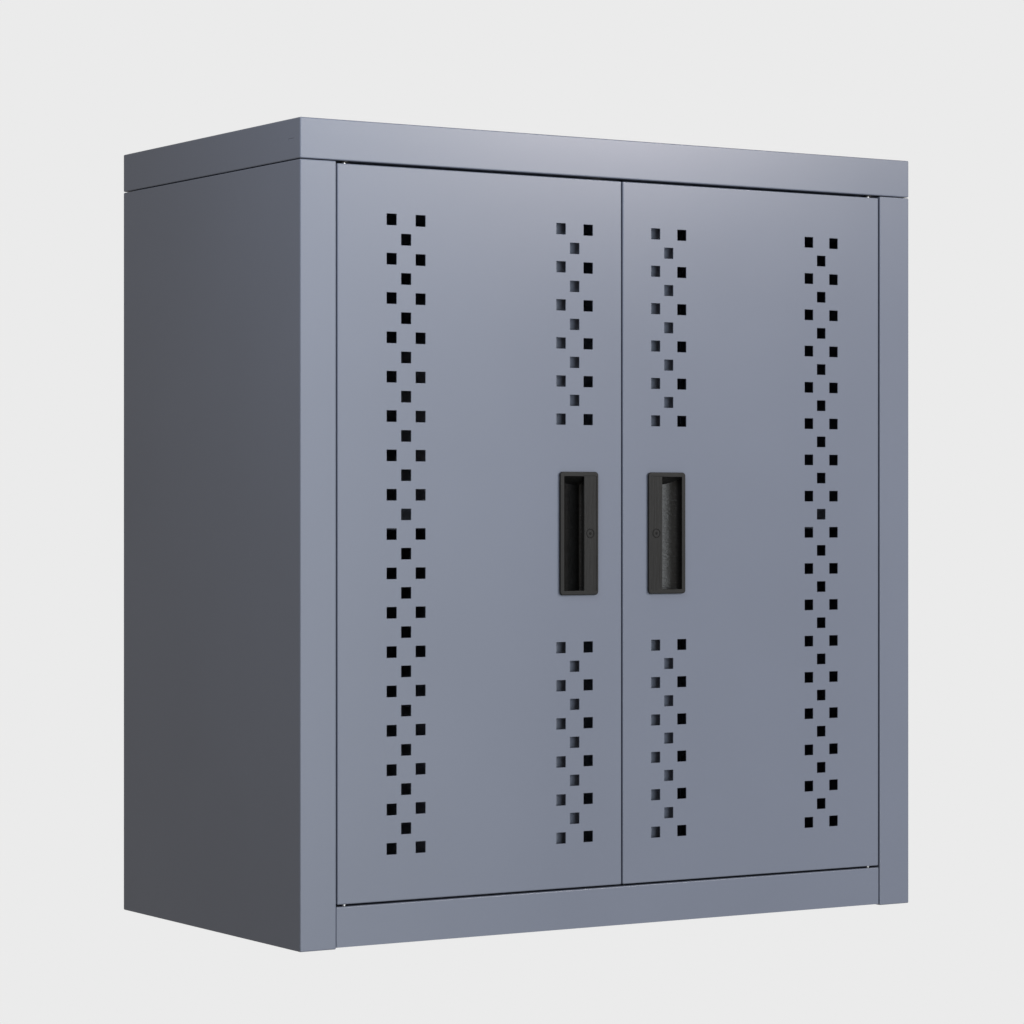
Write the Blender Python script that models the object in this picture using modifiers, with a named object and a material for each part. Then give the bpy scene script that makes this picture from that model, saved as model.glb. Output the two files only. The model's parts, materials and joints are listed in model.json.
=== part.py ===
"""Hanging wall cabinet: a flat-packed sheet-steel cupboard with two perforated doors on pivot pins.

Frame: metres, +Z up, origin on the ground plane under the middle of the object.
+X is to the right when facing the doors, and the doors face -Y.
"""

import math

import bmesh
import bpy
from mathutils import Matrix, Vector

# ------------------------------------------------------------------ driving dimensions, in metres
WIDTH = 0.660  # outer width of the case
DEPTH = 0.350  # outer depth of the case, stile face to wall
HEIGHT = 0.710  # outer height
SHEET = 0.0008  # steel sheet
BEND = 0.0007  # bend radius at the middle of the sheet
BEND_STEPS = 2
FIT = 0.0003  # gap left between two touching pieces
THROUGH = 0.006  # length of a cutter that goes through one sheet
THROUGH_TWO = 0.012  # and of one that goes through two

SKIRT = 0.0349  # height of the top panel's skirt
REVEAL = 0.0008  # dark line under the skirt
STILE = 0.035  # width of the side panels' front face
RETURN = 0.038  # width of the frame folded back inside each side panel
TOP_RETURN = 0.036  # width of the flange folded in under the top panel
BASE_LIFT = 0.0012  # the bottom panel ends this far above the side panels' lower ends
FLOOR_TOP = 0.0360  # upper face of the cabinet floor
RAIL_SETBACK = 0.0010  # the bottom rail lies this far behind the stiles
RAIL_GAP = 0.0005  # stile to bottom rail

DOOR_SETBACK = 0.0006  # the door faces lie this far behind the stiles
DOOR_GAP_SIDE = 0.0014  # stile to door
DOOR_GAP_CENTRE = 0.0015  # door to door
DOOR_TOP = 0.6727
DOOR_BOTTOM = 0.0379
DOOR_PAN = 0.0175  # depth of the folded door pan
DOOR_RETURN = 0.012

HINGE_INSET = 0.0091  # pivot axis from the door's outer edge
HINGE_SETBACK = 0.0060  # pivot axis behind the stile face
PIN_RADIUS = 0.0020
PIN_HEAD_RADIUS = 0.0034
BUSH_RADIUS = 0.0032
RUNNING_GAP = 0.0003

HOLE = 0.010  # side of a square perforation
HOLE_PITCH = 0.034  # between rows of one column
HOLE_COLUMN_STEP = 0.0145  # between the columns of a band
OUTER_BAND = 0.2255  # middle column of the outer band, from the cabinet's centre
INNER_BAND = 0.0512  # middle column of the inner band
PATTERN_MIDDLE = 0.3550  # height about which the perforations are symmetric
OUTER_ROWS = 17
INNER_ROWS = 6  # above the handle, and again below it

HANDLE_INNER = 0.0273  # handle edge nearest the cabinet's centre
HANDLE_WIDTH = 0.0408
HANDLE_HEIGHT = 0.1104
HANDLE_MIDDLE = 0.3549
HANDLE_PROUD = 0.0027  # bezel in front of the door
HANDLE_CORNER = 0.003
HANDLE_EDGE = 0.0010  # bevel round the bezel
HANDLE_PLATE = 0.0151  # width of the plate beside the finger recess
HANDLE_PLATE_THICKNESS = 0.0022
RECESS_WIDTH = 0.0216
RECESS_HEIGHT = 0.1026
RECESS_DEPTH = 0.0152
RECESS_UNDERCUT = 0.008  # how far the recess runs behind the plate
RECESS_DEEPEST = 0.003  # its deepest line lies this far behind the plate's edge
RECESS_TOP_SLOPE = 0.5  # the recess gets shorter at its top by this much of its depth
HANDLE_WALL = 0.0018
HANDLE_BODY_DEPTH = 0.0167

SHELF_TOP = 0.3833
SHELF_FLANGE = 0.025
SHELF_RETURN = 0.012
SHELF_HALF_WIDTH = 0.2932
SHELF_HALF_DEPTH = 0.151
SLOT_PITCH = 0.050  # between the shelf slots up the side panels
SLOT_COUNT = 11
SLOT_FIRST = 0.124
SLOT_FROM_EDGE = 0.029  # shelf slots from the front or back of the case
CLIP_WIDTH = 0.012

WALL_HOLE_SPACING = 0.4064  # two wall studs at 16 inch centres
WALL_HOLE_UPPER = 0.625
WALL_HOLE_LOWER = 0.080

# ------------------------------------------------------------------ sizes that follow from those
HANDLE_OVERHANG = HANDLE_PROUD - DOOR_SETBACK  # how far the handles stand in front of the stiles
CASE_FRONT = -(DEPTH - HANDLE_OVERHANG) / 2
CASE_BACK = CASE_FRONT + DEPTH
SIDE_TOP = HEIGHT - SKIRT - REVEAL
SKIRT_BOTTOM = HEIGHT - SKIRT
SIDE_INNER = WIDTH / 2 - STILE  # inner face of the stiles, from the centre
DOOR_OUTER = SIDE_INNER - DOOR_GAP_SIDE
DOOR_INNER = DOOR_GAP_CENTRE / 2
DOOR_FRONT = CASE_FRONT + DOOR_SETBACK
DOOR_REAR = DOOR_FRONT + DOOR_PAN
HINGE_X = DOOR_OUTER - HINGE_INSET
HINGE_Y = CASE_FRONT + HINGE_SETBACK
BACK_PLATE_HALF_WIDTH = SIDE_INNER - FIT
BASE_HALF_WIDTH = SIDE_INNER - RAIL_GAP
STIFFENER_MIDDLE = INNER_BAND
STIFFENER_HALF_WIDTH = 0.0190
STIFFENER_MOUTH = 0.0150  # half the width of its hat at the lips
STIFFENER_CROWN = 0.0140  # and at the crown
STIFFENER_RISE = 0.0070  # crown in front of the lips
STIFFENER_END_GAP = 0.0016  # from the door's ends
SIDES = {"left": -1, "right": 1}

ROUND = 16  # sides of a pin or a bush
ROUND_SMALL = 12  # sides of a screw, a bolt or a round hole


# ------------------------------------------------------------------ scene, collections, materials
for old in list(bpy.data.objects):
    bpy.data.objects.remove(old)

parts = bpy.data.collections.new("hanging_wall_cabinet")
cutters = bpy.data.collections.new("cutters")
bpy.context.scene.collection.children.link(parts)
bpy.context.scene.collection.children.link(cutters)


def make_material(name, colour, roughness, metallic=0.0):
    made = bpy.data.materials.new(name)
    made.use_nodes = True
    shader = made.node_tree.nodes["Principled BSDF"]
    shader.inputs["Base Color"].default_value = (*colour, 1.0)
    shader.inputs["Roughness"].default_value = roughness
    shader.inputs["Metallic"].default_value = metallic
    made.diffuse_color = (*colour, 1.0)
    return made


def powder_coat(node):
    return make_material(node + "_paint", (0.270, 0.290, 0.350), 0.45)


def black_plastic(node):
    return make_material(node + "_plastic", (0.020, 0.020, 0.021), 0.40)


def dark_nylon(node):
    return make_material(node + "_nylon", (0.035, 0.035, 0.037), 0.45)


def zinc_plate(node):
    return make_material(node + "_zinc", (0.62, 0.63, 0.65), 0.32, 1.0)


def magnet_iron(node):
    return make_material(node + "_ferrite", (0.06, 0.06, 0.065), 0.55, 0.2)


# ------------------------------------------------------------------ building tools
def object_from(shape, name, group=parts, surface=None):
    """Makes an object of a bmesh, in a collection, with one material."""
    mesh = bpy.data.meshes.new(name)
    shape.to_mesh(mesh)
    shape.free()
    made = bpy.data.objects.new(name, mesh)
    group.objects.link(made)
    if surface is not None:
        mesh.materials.append(surface)
    if group is cutters:
        made.hide_render = True
        made.display_type = "WIRE"
    return made


def thicken(made, thickness, bend):
    """Rounds the folds of a sheet drawn at its mid surface, then gives it its thickness."""
    if bend > 0:
        bevel = made.modifiers.new("bends", "BEVEL")
        bevel.width = bend
        bevel.segments = BEND_STEPS
        bevel.limit_method = "ANGLE"
        bevel.angle_limit = math.radians(40)
    solid = made.modifiers.new("sheet", "SOLIDIFY")
    solid.thickness = thickness
    solid.offset = 0.0
    solid.use_even_offset = True
    return made


def tray(name, size, mouth, flange, surface, thickness=SHEET, bend=BEND):
    """A folded pan, centred on its own origin, of the given outer size.

    mouth is the direction of the open side, and flange how far the rim is folded in along each axis.
    """
    shape = bmesh.new()
    middle = [length - thickness for length in size]
    bmesh.ops.create_cube(shape, size=1.0, matrix=Matrix.Diagonal((*middle, 1.0)))
    mouth = Vector(mouth)
    open_face = [f for f in shape.faces if f.normal.dot(mouth) > 0.9][0]
    rim = list(open_face.edges)
    rim_corners = list(open_face.verts)
    bmesh.ops.delete(shape, geom=[open_face], context="FACES_ONLY")
    if any(flange):
        folded = bmesh.ops.extrude_edge_only(shape, edges=rim)["geom"]
        for vert in (g for g in folded if isinstance(g, bmesh.types.BMVert)):
            for axis in range(3):
                vert.co[axis] -= math.copysign(flange[axis], vert.co[axis])
    else:
        bmesh.ops.translate(shape, verts=rim_corners, vec=mouth * thickness / 2)
    bmesh.ops.recalc_face_normals(shape, faces=shape.faces)
    return thicken(object_from(shape, name, parts, surface), thickness, bend)


def strip(name, profile, run, surface, thickness=SHEET, bend=BEND):
    """A strip folded along the profile's points, which lie on its mid surface, and run out along run."""
    shape = bmesh.new()
    points = [shape.verts.new(point) for point in profile]
    edges = [shape.edges.new(pair) for pair in zip(points, points[1:])]
    extruded = bmesh.ops.extrude_edge_only(shape, edges=edges)["geom"]
    far = [g for g in extruded if isinstance(g, bmesh.types.BMVert)]
    bmesh.ops.translate(shape, verts=far, vec=run)
    bmesh.ops.recalc_face_normals(shape, faces=shape.faces)
    return thicken(object_from(shape, name, parts, surface), thickness, bend)


def add_box(shape, centre, size):
    matrix = Matrix.Translation(centre) @ Matrix.Diagonal((*size, 1.0))
    bmesh.ops.create_cube(shape, size=1.0, matrix=matrix)


def add_rod(shape, centre, radius, length, axis="Z", sides=ROUND_SMALL):
    turn = {"X": Matrix.Rotation(math.pi / 2, 4, "Y"), "Y": Matrix.Rotation(math.pi / 2, 4, "X")}
    matrix = Matrix.Translation(centre) @ turn.get(axis, Matrix.Identity(4))
    bmesh.ops.create_cone(
        shape,
        cap_ends=True,
        segments=sides,
        radius1=radius,
        radius2=radius,
        depth=length,
        matrix=matrix,
    )


def boolean(made, tool, operation="DIFFERENCE"):
    """Cuts a piece with a cutter, or joins it to one, in the piece's own coordinates."""
    tool.parent = made
    change = made.modifiers.new(tool.name, "BOOLEAN")
    change.operation = operation
    change.solver = "EXACT"
    change.object = tool
    return made


def cut_boxes(made, name, boxes):
    shape = bmesh.new()
    for centre, size in boxes:
        add_box(shape, centre, size)
    return boolean(made, object_from(shape, f"{made.name}_{name}", cutters))


def cut_rods(made, name, rods, axis):
    """Round holes, each given by its centre and radius, through a piece along one axis."""
    shape = bmesh.new()
    for centre, radius, length in rods:
        add_rod(shape, centre, radius, length, axis)
    return boolean(made, object_from(shape, f"{made.name}_{name}", cutters))


def join_rods(made, name, rods, axis):
    shape = bmesh.new()
    for centre, radius, length in rods:
        add_rod(shape, centre, radius, length, axis)
    return boolean(made, object_from(shape, f"{made.name}_{name}", cutters), "UNION")


def turned(name, profile, surface, closed=False, sides=ROUND):
    """A round piece about its own Z axis. The profile is (radius, height) points, down its outer side."""
    shape = bmesh.new()
    points = [shape.verts.new((radius, 0.0, height)) for radius, height in profile]
    for pair in zip(points, points[1:]):
        shape.edges.new(pair)
    if closed:
        shape.edges.new((points[-1], points[0]))
    made = object_from(shape, name, parts, surface)
    screw = made.modifiers.new("turn", "SCREW")
    screw.axis = "Z"
    screw.steps = sides
    screw.render_steps = sides
    screw.use_merge_vertices = True
    screw.merge_threshold = 0.00001
    screw.use_smooth_shade = True
    return made


def outline_prism(name, outline, half_height, group, surface=None):
    """A vertical prism of a flat outline of (x, y) points, centred on its own origin in height."""
    curve = bpy.data.curves.new(name, "CURVE")
    curve.dimensions = "2D"
    curve.fill_mode = "BOTH"
    curve.extrude = half_height
    spline = curve.splines.new("POLY")
    spline.points.add(len(outline) - 1)
    for point, (x, y) in zip(spline.points, outline):
        point.co = (x, y, 0.0, 1.0)
    spline.use_cyclic_u = True
    drawn = bpy.data.objects.new(name + "_outline", curve)
    bpy.context.scene.collection.objects.link(drawn)
    graph = bpy.context.evaluated_depsgraph_get()
    mesh = bpy.data.meshes.new_from_object(drawn.evaluated_get(graph))
    bpy.data.objects.remove(drawn)
    shape = bmesh.new()
    shape.from_mesh(mesh)
    bpy.data.meshes.remove(mesh)
    bmesh.ops.remove_doubles(shape, verts=shape.verts, dist=0.000001)
    bmesh.ops.recalc_face_normals(shape, faces=shape.faces)
    return object_from(shape, name, group, surface)


def rounded_outline(half_width, half_height, radius, steps=4):
    """The points of a rectangle with round corners, anticlockwise."""
    points = []
    for quarter, (sx, sy) in enumerate(((1, 1), (-1, 1), (-1, -1), (1, -1))):
        for step in range(steps + 1):
            angle = math.pi / 2 * (quarter + step / steps)
            x = sx * (half_width - radius) + radius * math.cos(angle)
            y = sy * (half_height - radius) + radius * math.sin(angle)
            points.append((x, y))
    return points


def pivot(name, location):
    """An empty that pieces hang on, such as a door's hinge axis."""
    made = bpy.data.objects.new(name, None)
    made.empty_display_size = 0.05
    made.location = location
    parts.objects.link(made)
    return made


def place(made, location, parent=None):
    """Puts a piece at a place given in the cabinet's frame, under a parent that is only moved."""
    offset = parent.location if parent is not None else Vector((0, 0, 0))
    made.location = Vector(location) - offset
    made.parent = parent
    return made


# ------------------------------------------------------------------ case panels
case = pivot("case", (0, 0, 0))

BOLT_X = WIDTH / 2 - 0.018
BOLT_Y = 0.100
BOLT_RADIUS = 0.0025
BOLT_HOLE = BOLT_RADIUS + FIT
BASE_BOLT_Z = 0.019
CASE_MIDDLE_Y = (CASE_FRONT + CASE_BACK) / 2
CATCH_X = 0.038
CATCH_SIZE = Vector((0.036, 0.0173, 0.0130))
CATCH_MIDDLE = Vector(
    (CATCH_X, DOOR_REAR + FIT + CATCH_SIZE.y / 2, SKIRT_BOTTOM - FIT - CATCH_SIZE.z / 2)
)
CATCH_HOLE = 0.0018
CATCH_SCREW_OFFSET = 0.003  # the screw stands behind the middle of the catch, clear of the magnet
TAB_MARK = Vector((0.0006, 0.0105, 0.0010))  # pressed half into the skirt near its front corners
TAB_MARK_FROM_EDGE = 0.0162


def make_top_panel():
    size = (WIDTH, DEPTH, SKIRT)
    made = tray("top_panel", size, (0, 0, -1), (TOP_RETURN, TOP_RETURN, 0), powder_coat("top_panel"))
    middle = Vector((0, CASE_MIDDLE_Y, HEIGHT - SKIRT / 2))
    rods = []
    for side in SIDES.values():
        rods.append((Vector((side * HINGE_X, HINGE_Y, SKIRT_BOTTOM)), BUSH_RADIUS + FIT))
        screw_y = CATCH_MIDDLE.y + CATCH_SCREW_OFFSET
        rods.append((Vector((side * CATCH_X, screw_y, SKIRT_BOTTOM)), CATCH_HOLE))
        for end in (-1, 1):
            rods.append((Vector((side * BOLT_X, CASE_MIDDLE_Y + end * BOLT_Y, SKIRT_BOTTOM)), BOLT_HOLE))
    cut_rods(made, "holes", [(at - middle, radius, THROUGH) for at, radius in rods], "Z")
    marks = [((side * WIDTH / 2, TAB_MARK_FROM_EDGE - DEPTH / 2, 0), TAB_MARK) for side in SIDES.values()]
    cut_boxes(made, "tab_marks", marks)
    return place(made, middle, case)


def make_bottom_panel():
    depth = DEPTH - 2 * RAIL_SETBACK
    height = FLOOR_TOP - BASE_LIFT
    size = (2 * BASE_HALF_WIDTH, depth, height)
    made = tray("bottom_panel", size, (0, 0, -1), (0, 0, 0), powder_coat("bottom_panel"))
    middle = Vector((0, CASE_MIDDLE_Y, BASE_LIFT + height / 2))
    bushes = [
        (Vector((side * HINGE_X, HINGE_Y, FLOOR_TOP)) - middle, BUSH_RADIUS + FIT, THROUGH)
        for side in SIDES.values()
    ]
    cut_rods(made, "bush_holes", bushes, "Z")
    bolts = []
    for side in SIDES.values():
        for end in (-1, 1):
            at = Vector((side * BASE_HALF_WIDTH, CASE_MIDDLE_Y + end * BOLT_Y, BASE_BOLT_Z))
            bolts.append((at - middle, BOLT_HOLE, THROUGH))
    cut_rods(made, "bolt_holes", bolts, "X")
    return place(made, middle, case)


BACK_SCREW_HEIGHTS = {"upper": 0.590, "middle": 0.355, "lower": 0.110}
BACK_SCREW_SETBACK = 0.012  # from the back of the case
BACK_SCREW_RADIUS = 0.00175
LAND_RADIUS = 0.007  # raised round the bolts, so that the top panel stands clear of the side panels
SLOT_SIZE = Vector((0.004, CLIP_WIDTH + 0.001, 0.0032))


def make_side_panel(name, side):
    """A pan that opens towards the inside of the cabinet, with a frame folded in round its mouth."""
    size = (STILE, DEPTH, SIDE_TOP)
    made = tray(name, size, (-side, 0, 0), (0, RETURN, RETURN), powder_coat(name))
    middle = Vector((side * (WIDTH - STILE) / 2, CASE_MIDDLE_Y, SIDE_TOP / 2))
    lands = []
    bolts = []
    cross = []
    for end in (-1, 1):
        top = Vector((side * BOLT_X, CASE_MIDDLE_Y + end * BOLT_Y, SIDE_TOP)) - middle
        lands.append((top, LAND_RADIUS, 2 * (REVEAL - FIT)))
        bolts.append((top, BOLT_HOLE, THROUGH_TWO))
        base = Vector((side * SIDE_INNER, CASE_MIDDLE_Y + end * BOLT_Y, BASE_BOLT_Z)) - middle
        cross.append((base, BOLT_HOLE, THROUGH))
    join_rods(made, "lands", lands, "Z")
    cut_rods(made, "top_bolt_holes", bolts, "Z")
    for height in BACK_SCREW_HEIGHTS.values():
        at = Vector((side * SIDE_INNER, CASE_BACK - BACK_SCREW_SETBACK, height))
        cross.append((at - middle, BACK_SCREW_RADIUS + FIT, THROUGH))
    cut_rods(made, "cross_holes", cross, "X")
    slots = []
    for end in (-1, 1):
        for step in range(SLOT_COUNT):
            height = SLOT_FIRST + step * SLOT_PITCH
            at = Vector((side * SIDE_INNER, CASE_MIDDLE_Y + end * (DEPTH / 2 - SLOT_FROM_EDGE), height))
            slots.append((at - middle, SLOT_SIZE))
    cut_boxes(made, "shelf_slots", slots)
    return place(made, middle, case)


BACK_FLANGE = 0.020
BACK_TOP = SIDE_TOP - FIT
BACK_BOTTOM = FLOOR_TOP + FIT
BACK_REAR = CASE_BACK - RAIL_SETBACK
KEYHOLE_ROUND = 0.0065
KEYHOLE_SLOT = 0.0070
KEYHOLE_RISE = 0.014
LOWER_WALL_HOLE = 0.0035
HANGING_RAIL_GAUGE = 0.0015
HANGING_RAIL_LIP = 0.012
HANGING_RAIL_BELOW = 0.020  # from the wall screws down to the rail's lower edge
HANGING_RAIL_ABOVE = 0.026
HANGING_RAIL_HALF_LENGTH = 0.286


def keyholes(origin, depth):
    """The parts of two keyholes for wall screws: the round mouths, and the slots above them."""
    mouths = []
    necks = []
    for end in (-1, 1):
        at = Vector((end * WALL_HOLE_SPACING / 2, BACK_REAR, WALL_HOLE_UPPER)) - origin
        mouths.append((at, KEYHOLE_ROUND, depth))
        necks.append((at + Vector((0, 0, KEYHOLE_RISE / 2)), (KEYHOLE_SLOT, depth, KEYHOLE_RISE)))
    return mouths, necks


def cut_keyholes(made, origin):
    mouths, necks = keyholes(origin, THROUGH_TWO)
    cut_rods(made, "keyhole_mouths", mouths, "Y")
    return cut_boxes(made, "keyhole_necks", necks)


def make_back_panel():
    size = (2 * BACK_PLATE_HALF_WIDTH, BACK_FLANGE, BACK_TOP - BACK_BOTTOM)
    made = tray("back_panel", size, (0, -1, 0), (0, 0, 0), powder_coat("back_panel"))
    middle = Vector((0, BACK_REAR - BACK_FLANGE / 2, (BACK_TOP + BACK_BOTTOM) / 2))
    cut_keyholes(made, middle)
    lower = []
    for end in (-1, 1):
        at = Vector((end * WALL_HOLE_SPACING / 2, BACK_REAR, WALL_HOLE_LOWER))
        lower.append((at - middle, LOWER_WALL_HOLE, THROUGH))
    cut_rods(made, "lower_wall_holes", lower, "Y")
    screws = []
    for side in SIDES.values():
        for height in BACK_SCREW_HEIGHTS.values():
            at = Vector((side * BACK_PLATE_HALF_WIDTH, CASE_BACK - BACK_SCREW_SETBACK, height))
            screws.append((at - middle, BACK_SCREW_RADIUS + FIT, THROUGH))
    cut_rods(made, "screw_holes", screws, "X")
    return place(made, middle, case)


def make_hanging_rail():
    """A U channel spot-welded inside the back panel, which carries the wall screws."""
    gauge = HANGING_RAIL_GAUGE
    web = BACK_REAR - SHEET - FIT - gauge / 2
    lip = web - HANGING_RAIL_LIP
    low = WALL_HOLE_UPPER - HANGING_RAIL_BELOW
    high = WALL_HOLE_UPPER + HANGING_RAIL_ABOVE
    half = HANGING_RAIL_HALF_LENGTH
    origin = Vector((0, web, WALL_HOLE_UPPER))
    corners = ((lip, high), (web, high), (web, low), (lip, low))
    profile = [Vector((-half, y, z)) - origin for y, z in corners]
    made = strip("hanging_rail", profile, (2 * half, 0, 0), powder_coat("hanging_rail"), gauge)
    cut_keyholes(made, origin)
    return place(made, origin, case)


# ------------------------------------------------------------------ shelf
SHELF_HAT_HALF_LENGTH = 0.278
SHELF_HAT_DEPTH = 0.012
SHELF_HAT_LIP_EDGE = 0.032  # from the middle of the hat channel to its edges
SHELF_HAT_MOUTH = 0.020
SHELF_HAT_WEB = 0.016
CLIP_GAUGE = 0.0008
CLIP_BEND = 0.0006
CLIP_HOOK_DROP = 0.008
CLIP_LEDGE = 0.0125
CLIP_LEDGE_TOP = SHELF_TOP - SHELF_FLANGE - FIT
CLIP_HOOK_Z = CLIP_LEDGE_TOP + 0.016


def make_shelf():
    size = (2 * SHELF_HALF_WIDTH, 2 * SHELF_HALF_DEPTH, SHELF_FLANGE)
    made = tray("shelf", size, (0, 0, -1), (SHELF_RETURN, SHELF_RETURN, 0), powder_coat("shelf"))
    return place(made, (0, CASE_MIDDLE_Y, SHELF_TOP - SHELF_FLANGE / 2), case)


def make_shelf_stiffener():
    top = SHELF_TOP - SHEET - FIT - SHEET / 2
    low = top - SHELF_HAT_DEPTH
    half_length = SHELF_HAT_HALF_LENGTH
    origin = Vector((0, CASE_MIDDLE_Y, top))
    half = ((SHELF_HAT_LIP_EDGE, top), (SHELF_HAT_MOUTH, top), (SHELF_HAT_WEB, low))
    corners = [(-y, z) for y, z in half] + list(reversed(half))
    profile = [Vector((-half_length, CASE_MIDDLE_Y + y, z)) - origin for y, z in corners]
    made = strip("shelf_stiffener", profile, (2 * half_length, 0, 0), powder_coat("shelf_stiffener"))
    return place(made, origin, case)


def make_shelf_clip(name, side, end):
    """A strip that hooks through a slot, hangs down the side panel and turns in to a ledge."""
    hook = SIDE_INNER + SHEET + FIT + CLIP_GAUGE / 2
    wall = SIDE_INNER - FIT - CLIP_GAUGE / 2
    ledge = CLIP_LEDGE_TOP - CLIP_GAUGE / 2
    edge = CASE_MIDDLE_Y + end * (DEPTH / 2 - SLOT_FROM_EDGE) - CLIP_WIDTH / 2
    origin = Vector((side * SIDE_INNER, edge, CLIP_HOOK_Z))
    corners = (
        (hook, CLIP_HOOK_Z - CLIP_HOOK_DROP),
        (hook, CLIP_HOOK_Z),
        (wall, CLIP_HOOK_Z),
        (wall, ledge),
        (wall - CLIP_LEDGE, ledge),
    )
    profile = [Vector((side * x, edge, z)) - origin for x, z in corners]
    made = strip(name, profile, (0, CLIP_WIDTH, 0), zinc_plate(name), CLIP_GAUGE, CLIP_BEND)
    return place(made, origin, case)


# ------------------------------------------------------------------ doors
def door_axis(name, side):
    return pivot(name, (side * HINGE_X, HINGE_Y, 0))


def perforations():
    """(distance from the cabinet's centre, height) of each square hole of one door."""
    holes = []
    for band, rows in ((OUTER_BAND, OUTER_ROWS), (INNER_BAND, INNER_ROWS)):
        for column in (-1, 0, 1):
            staggered = column == 0
            if band == OUTER_BAND:
                count = rows - staggered
                start = PATTERN_MIDDLE - (count - 1) * HOLE_PITCH / 2
                heights = [start + row * HOLE_PITCH for row in range(count)]
            else:
                outermost = (OUTER_ROWS - 1) / 2 * HOLE_PITCH - staggered * HOLE_PITCH / 2
                count = rows - staggered
                heights = [
                    PATTERN_MIDDLE + half * (outermost - row * HOLE_PITCH)
                    for half in (-1, 1)
                    for row in range(count)
                ]
            holes += [(band + column * HOLE_COLUMN_STEP, height) for height in heights]
    return holes


HANDLE_CUTOUT_LOW = HANDLE_INNER + HANDLE_PLATE - RECESS_UNDERCUT - HANDLE_WALL - FIT
HANDLE_CUTOUT_HIGH = HANDLE_INNER + HANDLE_PLATE + RECESS_WIDTH + HANDLE_WALL + FIT
HANDLE_CUTOUT_HALF = RECESS_HEIGHT / 2 + HANDLE_WALL + FIT


def make_door_panel(name, side, axis):
    size = (DOOR_OUTER - DOOR_INNER, DOOR_PAN, DOOR_TOP - DOOR_BOTTOM)
    made = tray(name, size, (0, 1, 0), (DOOR_RETURN, 0, DOOR_RETURN), powder_coat(name))
    middle = Vector(
        (side * (DOOR_OUTER + DOOR_INNER) / 2, DOOR_FRONT + DOOR_PAN / 2, (DOOR_TOP + DOOR_BOTTOM) / 2)
    )
    holes = [
        (Vector((side * distance, DOOR_FRONT, height)) - middle, (HOLE, THROUGH, HOLE))
        for distance, height in perforations()
    ]
    cut_boxes(made, "perforations", holes)
    cutout_middle = side * (HANDLE_CUTOUT_LOW + HANDLE_CUTOUT_HIGH) / 2
    cutout_size = (HANDLE_CUTOUT_HIGH - HANDLE_CUTOUT_LOW, THROUGH, 2 * HANDLE_CUTOUT_HALF)
    cutout_at = Vector((cutout_middle, DOOR_FRONT, HANDLE_MIDDLE)) - middle
    cut_boxes(made, "handle_cutout", [(cutout_at, cutout_size)])
    pins = [
        (Vector((side * HINGE_X, HINGE_Y, height)) - middle, PIN_RADIUS + FIT, THROUGH)
        for height in (DOOR_TOP, DOOR_BOTTOM)
    ]
    cut_rods(made, "pin_holes", pins, "Z")
    return place(made, middle, axis)


def make_door_stiffener(name, side, axis):
    """A hat channel behind the inner band, spot-welded to the door's folded ends, with room for the pull."""
    lip_y = DOOR_REAR - SHEET - FIT - SHEET / 2
    crown_y = lip_y - STIFFENER_RISE
    low = DOOR_BOTTOM + STIFFENER_END_GAP
    high = DOOR_TOP - STIFFENER_END_GAP
    origin = Vector((side * STIFFENER_MIDDLE, lip_y, (low + high) / 2))
    half = ((STIFFENER_HALF_WIDTH, lip_y), (STIFFENER_MOUTH, lip_y), (STIFFENER_CROWN, crown_y))
    corners = [(-x, y) for x, y in half] + list(reversed(half))
    profile = [Vector((side * (STIFFENER_MIDDLE + x), y, low)) - origin for x, y in corners]
    made = strip(name, profile, (0, 0, high - low), powder_coat(name))
    window_front = crown_y - SHEET
    window_back = DOOR_FRONT - HANDLE_PROUD + HANDLE_BODY_DEPTH + FIT
    window_middle = Vector((origin.x, (window_front + window_back) / 2, HANDLE_MIDDLE))
    window_size = (2 * STIFFENER_HALF_WIDTH, window_back - window_front, 2 * HANDLE_CUTOUT_HALF)
    cut_boxes(made, "pull_window", [(window_middle - origin, window_size)])
    return place(made, origin, axis)


def recess_outline(side, front):
    """The finger recess in plan: a long slope in from the outer rim, and a tight round behind the plate."""
    opening_near = HANDLE_INNER + HANDLE_PLATE
    opening_far = opening_near + RECESS_WIDTH
    back_end = opening_near - RECESS_UNDERCUT
    deepest = opening_near - RECESS_DEEPEST
    plate_back = front + HANDLE_PLATE_THICKNESS
    spring = plate_back + 0.0008  # the quarter ellipses begin a little behind the plate
    before_face = front - 0.002
    points = [(opening_near, before_face), (opening_far, before_face)]
    steps = 16
    for step in range(steps + 1):
        angle = math.pi * step / steps
        half = opening_far - deepest if 2 * step < steps else deepest - back_end
        x = deepest + half * math.cos(angle)
        y = spring + (front + RECESS_DEPTH - spring) * math.sin(angle)
        points.append((x, y))
    points.append((back_end, plate_back))
    points.append((opening_near, plate_back))
    return [(side * x, y) for x, y in points]


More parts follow.
